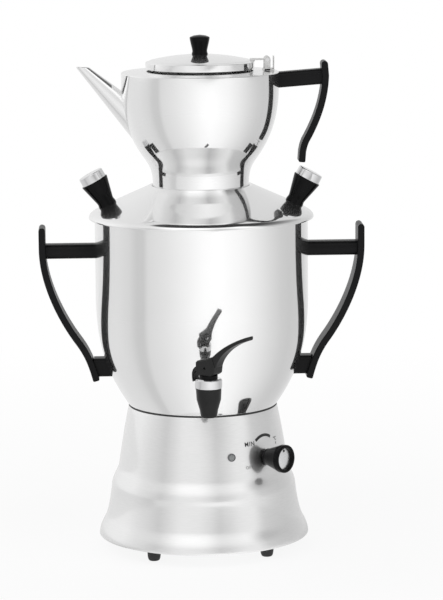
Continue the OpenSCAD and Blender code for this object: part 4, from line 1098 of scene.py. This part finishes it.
@dataclass
class Teapot:
    """Teapot on the steam lid: spun body, cone spout and moulded grip."""

    foot_r: float = 46.1
    foot_z: float = 351.5
    wall_r: float = 75.3
    rim_z: float = 462.0
    collar_r: float = 48.4
    collar_h: float = 6.6
    deck_rise: float = 2.1
    sheet: float = 1.0
    apex: Point = (-133.9, 488.5)
    spout_fall: float = 44.6
    spout_half: float = 8.0
    mouth_z: float = 467.4
    grip_x: float = 122.5
    grip_t: float = 6.4
    grip_w: float = 22.0
    grip_top_z: float = 471.8
    grip_end_z: float = 375.0
    arm_h: float = 15.0
    arm_w: float = 17.0
    steps: int = 128

    @property
    def collar_z(self) -> float:
        """Height of the collar's top."""
        return self.rim_z + self.deck_rise + self.collar_h

    def deck_height(self, radius: float) -> float:
        """Height of the deck at a radius."""
        share = (self.wall_r - radius) / (self.wall_r - self.collar_r)
        return self.rim_z + self.deck_rise * share

    def wall(self) -> list[Point]:
        """Draws the outer side of the body.

        Returns:
            Radii and heights from its foot to its widest part.
        """
        foot, low, out, rim = self.foot_r, self.foot_z, self.wall_r, self.rim_z
        return [(foot, low)] + chain(
            (foot, low + 4.5),
            ((foot + 0.2, low + 20.5), (51.5, rim - 86.2), (57.5, rim - 77), 24),
            ((67.5, rim - 61.5), (out, rim - 42), (out, rim - 12), 36))

    def build_body(self) -> None:
        """Makes the body with its deck and collar."""
        deck, collar, top = self.rim_z + self.deck_rise, self.collar_r, self.collar_z
        neck, low, high = collar - self.sheet, self.foot_z, self.foot_z + self.sheet
        wall = self.wall()
        path = wall[:-1] + rounded([wall[-1], (self.wall_r, self.rim_z), (collar, deck),
                                    (collar, top)], 1.3, 5)
        inside = [p for p in offset(path, -self.sheet)
                  if high + 0.3 < p[1] < self.rim_z - 0.5
                  or (p[0] > neck + 1 and p[1] > self.rim_z - 2)]
        profile = ([(0, low)] + rounded([(0, low)] + path[:3], 0.7, 3)[1:] + path[3:-1]
                   + [(collar, top), (neck, top), (neck, deck - self.sheet + 0.2)]
                   + inside[::-1] + [(self.foot_r - self.sheet, high), (0, high)])
        piece("teapot_wall", lathe(profile, self.steps), Look.MIRROR, Body.TEAPOT, "teapot_body",
              flat=True)

    def build_spout(self) -> None:
        """Makes the cone spout, from its level mouth to the body's wall."""
        segments, rings, shortest, longest, halvings = 72, 26, 10.0, 116.0, 34
        slope = math.tan(math.radians(self.spout_half))
        axis = place((self.apex[0], 0, self.apex[1]), (90 + self.spout_fall, "Y"))
        path = self.wall() + [(self.wall_r, self.rim_z)]

        def along(way: float, angle: float) -> Vector:
            """Point of the cone in millimetres."""
            r = way * slope
            return axis @ (Vector((r * math.cos(angle), r * math.sin(angle), way)) * MM) / MM

        def solve(test: Callable[[Vector], bool], angle: float) -> float:
            """Finds where a line of the cone first meets a test.

            Args:
                test: The test of a point.
                angle: Angle of the line round the axis.

            Returns:
                The way along the axis, in millimetres.
            """
            low, high = shortest, longest
            for _ in range(halvings):
                mid = (low + high) / 2
                low, high = (low, mid) if test(along(mid, angle)) else (mid, high)
            return high

        mesh = bmesh.new()
        bmesh.ops.create_cone(mesh, cap_ends=False, segments=segments, radius1=1.0, radius2=1.0,
                              depth=2.0)
        sides = [e for e in mesh.edges if abs(e.verts[0].co.z - e.verts[1].co.z) > 1]
        bmesh.ops.subdivide_edges(mesh, edges=sides, cuts=rings, use_grid_fill=True)
        reach: dict[int, Point] = {}
        for vert in mesh.verts:
            angle = math.atan2(vert.co.y, vert.co.x)
            step = round(angle / math.tau * segments)
            if step not in reach:
                reach[step] = (
                    solve(lambda p: p.z < self.mouth_z, angle),
                    solve(lambda p: math.hypot(p.x, p.y) < read_off(path, p.z) - 0.4, angle))
            mouth, root = reach[step]
            vert.co = along(mouth + (root - mouth) * (vert.co.z + 1) / 2, angle) * MM
        bmesh.ops.recalc_face_normals(mesh, faces=mesh.faces)
        bmesh.ops.solidify(mesh, geom=mesh.faces[:], thickness=self.sheet * MM)
        piece("teapot_spout_cone", soften(mesh, 0.3, 3, 40), Look.MIRROR, Body.TEAPOT,
              "teapot_spout")

    def build_grip(self) -> None:
        """Makes the black grip with its arm."""
        out, top, end, lift = self.grip_x, self.grip_top_z, self.grip_end_z, 3.2
        outer = ([(out - 0.9, top - 3)]
                 + bezier((out, top - 13.8), (out - 0.7, top - 39.8), (out - 10.5, top - 61.8),
                          (out - 19.5, end + 19.1), 28)
                 + [(out - 21, end + 15), (out - 22.1, end + 10), (out - 22.9, end)])
        arm = beam(oblong(self.arm_w, self.arm_h, self.rim_z - self.arm_h / 2 - 0.8, 4.5),
                   out - self.grip_t + 1.5, lambda z: self.wall_r)
        for vert in arm.verts:
            if vert.co.x > (self.wall_r + 10) * MM:
                vert.co.z += lift * MM
        piece("teapot_grip", merged([strap(outer, self.grip_t, self.grip_w, 2.0, 1.4), arm]),
              Look.PHENOLIC, Body.TEAPOT, "teapot_handle", sharp=42, flat=True)


@dataclass
class TeapotLid:
    """Hinged lid of the teapot, its knob and its hinge."""

    pot: Teapot
    radius: float = 51.8
    brim_w: float = 4.3
    dome_h: float = 7.0
    step_h: float = 1.5
    rim_drop: float = 5.4
    rim_t: float = 0.9
    skirt_gap: float = 1.2
    knob_h: float = 16.5
    knob_r: float = 9.6
    hinge_x: float = 64.0
    hinge_rise: float = 2.7
    knuckle_r: float = 3.0
    knuckle_w: float = 11.6
    stop_gap: float = 5.8
    stop_t: float = 0.8
    ear_r: float = 3.0
    ear_t: float = 1.2
    gap: float = 0.3

    def build_lid(self) -> None:
        """Makes the domed lid."""
        low, sheet, out = self.pot.collar_z, self.pot.sheet, self.radius
        top, hem = low + sheet + self.dome_h, low - self.rim_drop
        half, sag = out - self.brim_w, self.dome_h - self.step_h
        ball = (half * half + sag * sag) / (2 * sag)
        dome = [(half * i / 20, top - ball + math.sqrt(ball * ball - (half * i / 20) ** 2))
                for i in range(21)]
        skirt = self.pot.collar_r - sheet - self.skirt_gap
        path = dome + [(half + 1.8, low + sheet + 0.5), (out, low + sheet), (out, hem)]
        under = [p for p in offset(dome, sheet) if p[0] < skirt - 0.4]
        profile = (rounded(path, 0.8, 4, False, 12)
                   + [(out - self.rim_t, hem), (out - self.rim_t, low), (skirt, low),
                      (skirt, low + 0.8)] + under[:0:-1] + [(0, top - sheet)])
        piece("teapot_lid_dome", lathe(profile, self.pot.steps), Look.MIRROR, Body.TEAPOT_LID,
              "teapot_lid", flat=True)
        r, h = self.knob_r, self.knob_h
        knob = ([(0, -0.6), (r - 1.9, -0.6), (r - 1.9, 0.7), (r - 2.5, 2.6)]
                + bezier((r - 2.5, 3.4), (r - 1.8, 7.6), (r - 0.2, h - 4), (r, h - 0.6), 12)
                + [(r - 0.5, h), (r - 3.6, h + 1.3), (0, h + 2.1)])
        piece("teapot_lid_knob", moved(lathe(rounded(knob, 0.6, 3, False, 20), 64),
                                       place((0, 0, top))),
              Look.GLOSS_BLACK, Body.TEAPOT_LID, "teapot_knob")

    def build_hinge(self) -> None:
        """Makes the leaf on the lid and the bracket on the deck."""
        low, x, half = self.pot.collar_z, self.hinge_x, self.knuckle_w / 2
        pin, start, out = low + self.hinge_rise, self.radius - self.brim_w + 0.3, self.radius
        leaf = slab([(start, low + 0.7), (out - 0.3, low + 0.7), (out + 0.6, pin - 0.5),
                     (x, pin - 0.5), (x, pin + 0.5), (start + 0.6, pin + 0.7),
                     (start, pin + 0.3)], self.knuckle_w, 0.25, 2, 30)
        knuckle = rod(Vector((x, -half, pin)), Vector((x, half, pin)), self.knuckle_r, 40, 0.4)
        piece("hinge_leaf_plate", merged([leaf, knuckle]), Look.PLAIN_STEEL, Body.TEAPOT_LID,
              "hinge_leaf")
        ear_t, ear_y, foot = self.ear_t, half + self.gap, x - 4
        back, end = x + self.stop_gap, x + self.stop_gap + self.stop_t
        near, far = (self.pot.deck_height(at) - 0.4 for at in (foot, end))
        rise, top = self.pot.rim_z + self.pot.deck_rise + 0.6, pin + self.knuckle_r
        ear = ([(x - self.ear_r, near), (x + self.ear_r, near)]
               + arc((x, pin), (self.ear_r, self.ear_r), range(0, 181, 15)))
        shapes = [slab([(foot, near), (end, far), (end, rise), (foot, rise)],
                       2 * (ear_y + ear_t), 0.3, 2, 40),
                  slab([(back, far), (end, far), (end, top), (back, top)], 2 * ear_y, 0.25, 2,
                       40)]
        shapes += [moved(slab(ear, ear_t, 0.25, 2, 40), place((0, side * (ear_y + ear_t / 2), 0)))
                   for side in (-1, 1)]
        piece("hinge_seat", merged(shapes), Look.PLAIN_STEEL, Body.TEAPOT, "hinge_bracket")


# ---- Studio: directions are in degrees from the front to the right, with their brightness ----


GROUND = [(-180, 0.95), (-124, 0.84), (-100, 0.82), (-85, 0.77), (-74, 0.66), (-66, 0.66),
          (-60, 0.8), (-40, 0.88), (-20, 1.0), (0, 1.14), (15, 1.19), (40, 1.08), (55, 0.96),
          (74, 0.81), (90, 0.7), (103, 0.66), (125, 0.7), (180, 0.95)]
SKY = [(-180, 0.85), (-130, 1.0), (-106, 1.02), (-88, 0.88), (-72, 0.78), (-58, 0.62),
       (-44, 0.8), (-32, 0.96), (-7, 0.92), (6, 0.78), (17, 0.57), (30, 0.73), (42, 0.91),
       (60, 1.0), (75, 0.66), (110, 0.62), (140, 0.7), (180, 0.85)]
CEILING = [(-180, 0.8), (-90, 0.85), (-62, 1.0), (-38, 1.5), (0, 1.5), (20, 1.1),
           (40, 1.2), (54, 1.5), (66, 0.85), (76, 0.04), (134, 0.04), (146, 0.8), (180, 0.8)]


def round_the_object(sheet: Sheet, where: Signal, greys: Sequence[Point]) -> Signal:
    """Makes a grey that follows the direction round the Z axis.

    Args:
        sheet: The node tree's sheet.
        where: Coordinates whose direction counts.
        greys: Directions and their greys, in order.

    Returns:
        The grey's signal.
    """
    x, y, _ = sheet.axes(where)
    turn = x.maths("ARCTAN2", y * -1.0) / math.tau + 0.5
    return sheet.add("ValToRGB", {"Fac": turn}, stops=[(at / 360 + 0.5, level)
                                                       for at, level in greys])


@dataclass
class Studio:
    """Pale floor, soft surroundings with darker sides, two soft lamps and the camera."""

    camera_at: tuple[float, float, float] = (-96.8, -2703.3, 677.4)
    heading: float = 2.45
    pitch: float = 9.15
    roll: float = -0.45
    lens: float = 170.46
    aim_z: float = 0.25

    def build_camera(self) -> None:
        """Points the camera as the view needs."""
        h, p, t = (math.radians(v) for v in (self.heading, self.pitch, self.roll))
        ahead = Vector((math.sin(h) * math.cos(p), math.cos(h) * math.cos(p), -math.sin(p)))
        right = Vector((math.cos(h), -math.sin(h), 0))
        up = right.cross(ahead)
        x = math.cos(t) * right + math.sin(t) * up
        y = -math.sin(t) * right + math.cos(t) * up
        lens = bpy.data.cameras.new("camera")
        lens.sensor_width, lens.lens = 36.0, self.lens
        lens.clip_start, lens.clip_end = 0.05, 60.0
        camera = linked("camera", lens)
        camera.matrix_world = Matrix.Translation(Vector(self.camera_at) * MM) @ Matrix(
            (x, y, -ahead)).transposed().to_4x4()
        bpy.context.scene.camera = camera

    def build_world(self) -> None:
        """Soft surroundings whose brightness changes with the direction round the object."""
        world = bpy.data.worlds.new("studio")
        bpy.context.scene.world = world
        world.use_nodes = True
        sheet = Sheet(world.node_tree)
        way = sheet.add("TexCoord", output="Generated")
        height = sheet.axes(way)[2]
        tinted = sheet.blend(sheet.fitted(height, 0.35, 0.85), round_the_object(sheet, way, SKY),
                             round_the_object(sheet, way, CEILING))
        capped = sheet.blend(sheet.fitted(height, 0.88, 0.91), tinted, grey(0.03))
        both = sheet.add("MixShader", {0: sheet.add("LightPath", output="Is Camera Ray"),
                                       1: sheet.add("Background", {"Color": capped}),
                                       2: sheet.add("Background", {"Color": (1, 1, 1, 1)})})
        sheet.add("OutputWorld", {"Surface": both})

    def build_floor(self) -> None:
        """Plain pale floor that keeps the object's shadow."""
        mesh = bmesh.new()
        bmesh.ops.create_grid(mesh, x_segments=1, y_segments=1, size=6.0)
        data = bpy.data.meshes.new("floor")
        mesh.to_mesh(data)
        mesh.free()
        floor = linked("floor", data)
        made = bpy.data.materials.new("pale_floor")
        made.use_nodes = True
        sheet = Sheet(made.node_tree)
        where = sheet.add("TexCoord", output="Object")
        reach = sheet.add("VectorMath", {0: where}, output="Value", operation="LENGTH")
        far = sheet.fitted(reach, 0.2, 1.1, 0.88, 1.0)
        seen, gloss = (sheet.add("LightPath", output=f"Is {kind} Ray")
                       for kind in ("Camera", "Glossy"))
        matt = sheet.add("BsdfDiffuse", {"Color": (*grey(0.93), 1.0)})
        glow = sheet.add("BsdfPrincipled", {
            "Base Color": (0.0, 0.0, 0.0, 1.0), "Roughness": 1.0, "Specular IOR Level": 0.0,
            "Emission Color": sheet.blend(gloss, grey(1.0), round_the_object(sheet, where, GROUND)),
            "Emission Strength": 1.0})
        both = sheet.add("MixShader", {0: (seen + gloss) * far, 1: matt, 2: glow})
        sheet.add("OutputMaterial", {"Surface": both})
        data.materials.append(made)

    def build_lamps(self) -> None:
        """Two large soft lamps from the upper left and right."""
        for name, spot, size, power in (("key_lamp", (-1.5, -1.8, 2.2), 2.0, 12.0),
                                        ("fill_lamp", (1.9, -1.4, 1.5), 1.6, 5.0)):
            light = bpy.data.lights.new(name, "AREA")
            light.size, light.energy = size, power
            lamp = linked(name, light)
            lamp.location = spot
            lamp.visible_glossy = False
            aim = Vector((0, 0, self.aim_z)) - Vector(spot)
            lamp.rotation_euler = aim.to_track_quat("-Z", "Y").to_euler()


def main() -> None:
    """Builds the studio and every sub-assembly."""
    logging.basicConfig(level=logging.INFO, format="%(name)s %(message)s")
    bpy.context.scene.view_settings.view_transform = "Standard"
    studio, boiler, tap, pot = Studio(), Boiler(), Tap(), Teapot()
    controls, lid = Controls(boiler), TeapotLid(pot)
    for build in (studio.build_camera, studio.build_world, studio.build_floor,
                  studio.build_lamps, dress_bare_nodes, boiler.build_tank, boiler.build_base,
                  boiler.build_feet, boiler.build_lid, LidKnobs(boiler).build,
                  SideGrips(boiler).build, tap.build_body, tap.build_bonnet, tap.build_lever,
                  controls.build_knob, controls.build_lamp, controls.build_scale,
                  pot.build_body, pot.build_spout, pot.build_grip, lid.build_lid,
                  lid.build_hinge):
        build()


if __name__ == "__main__":
    main()
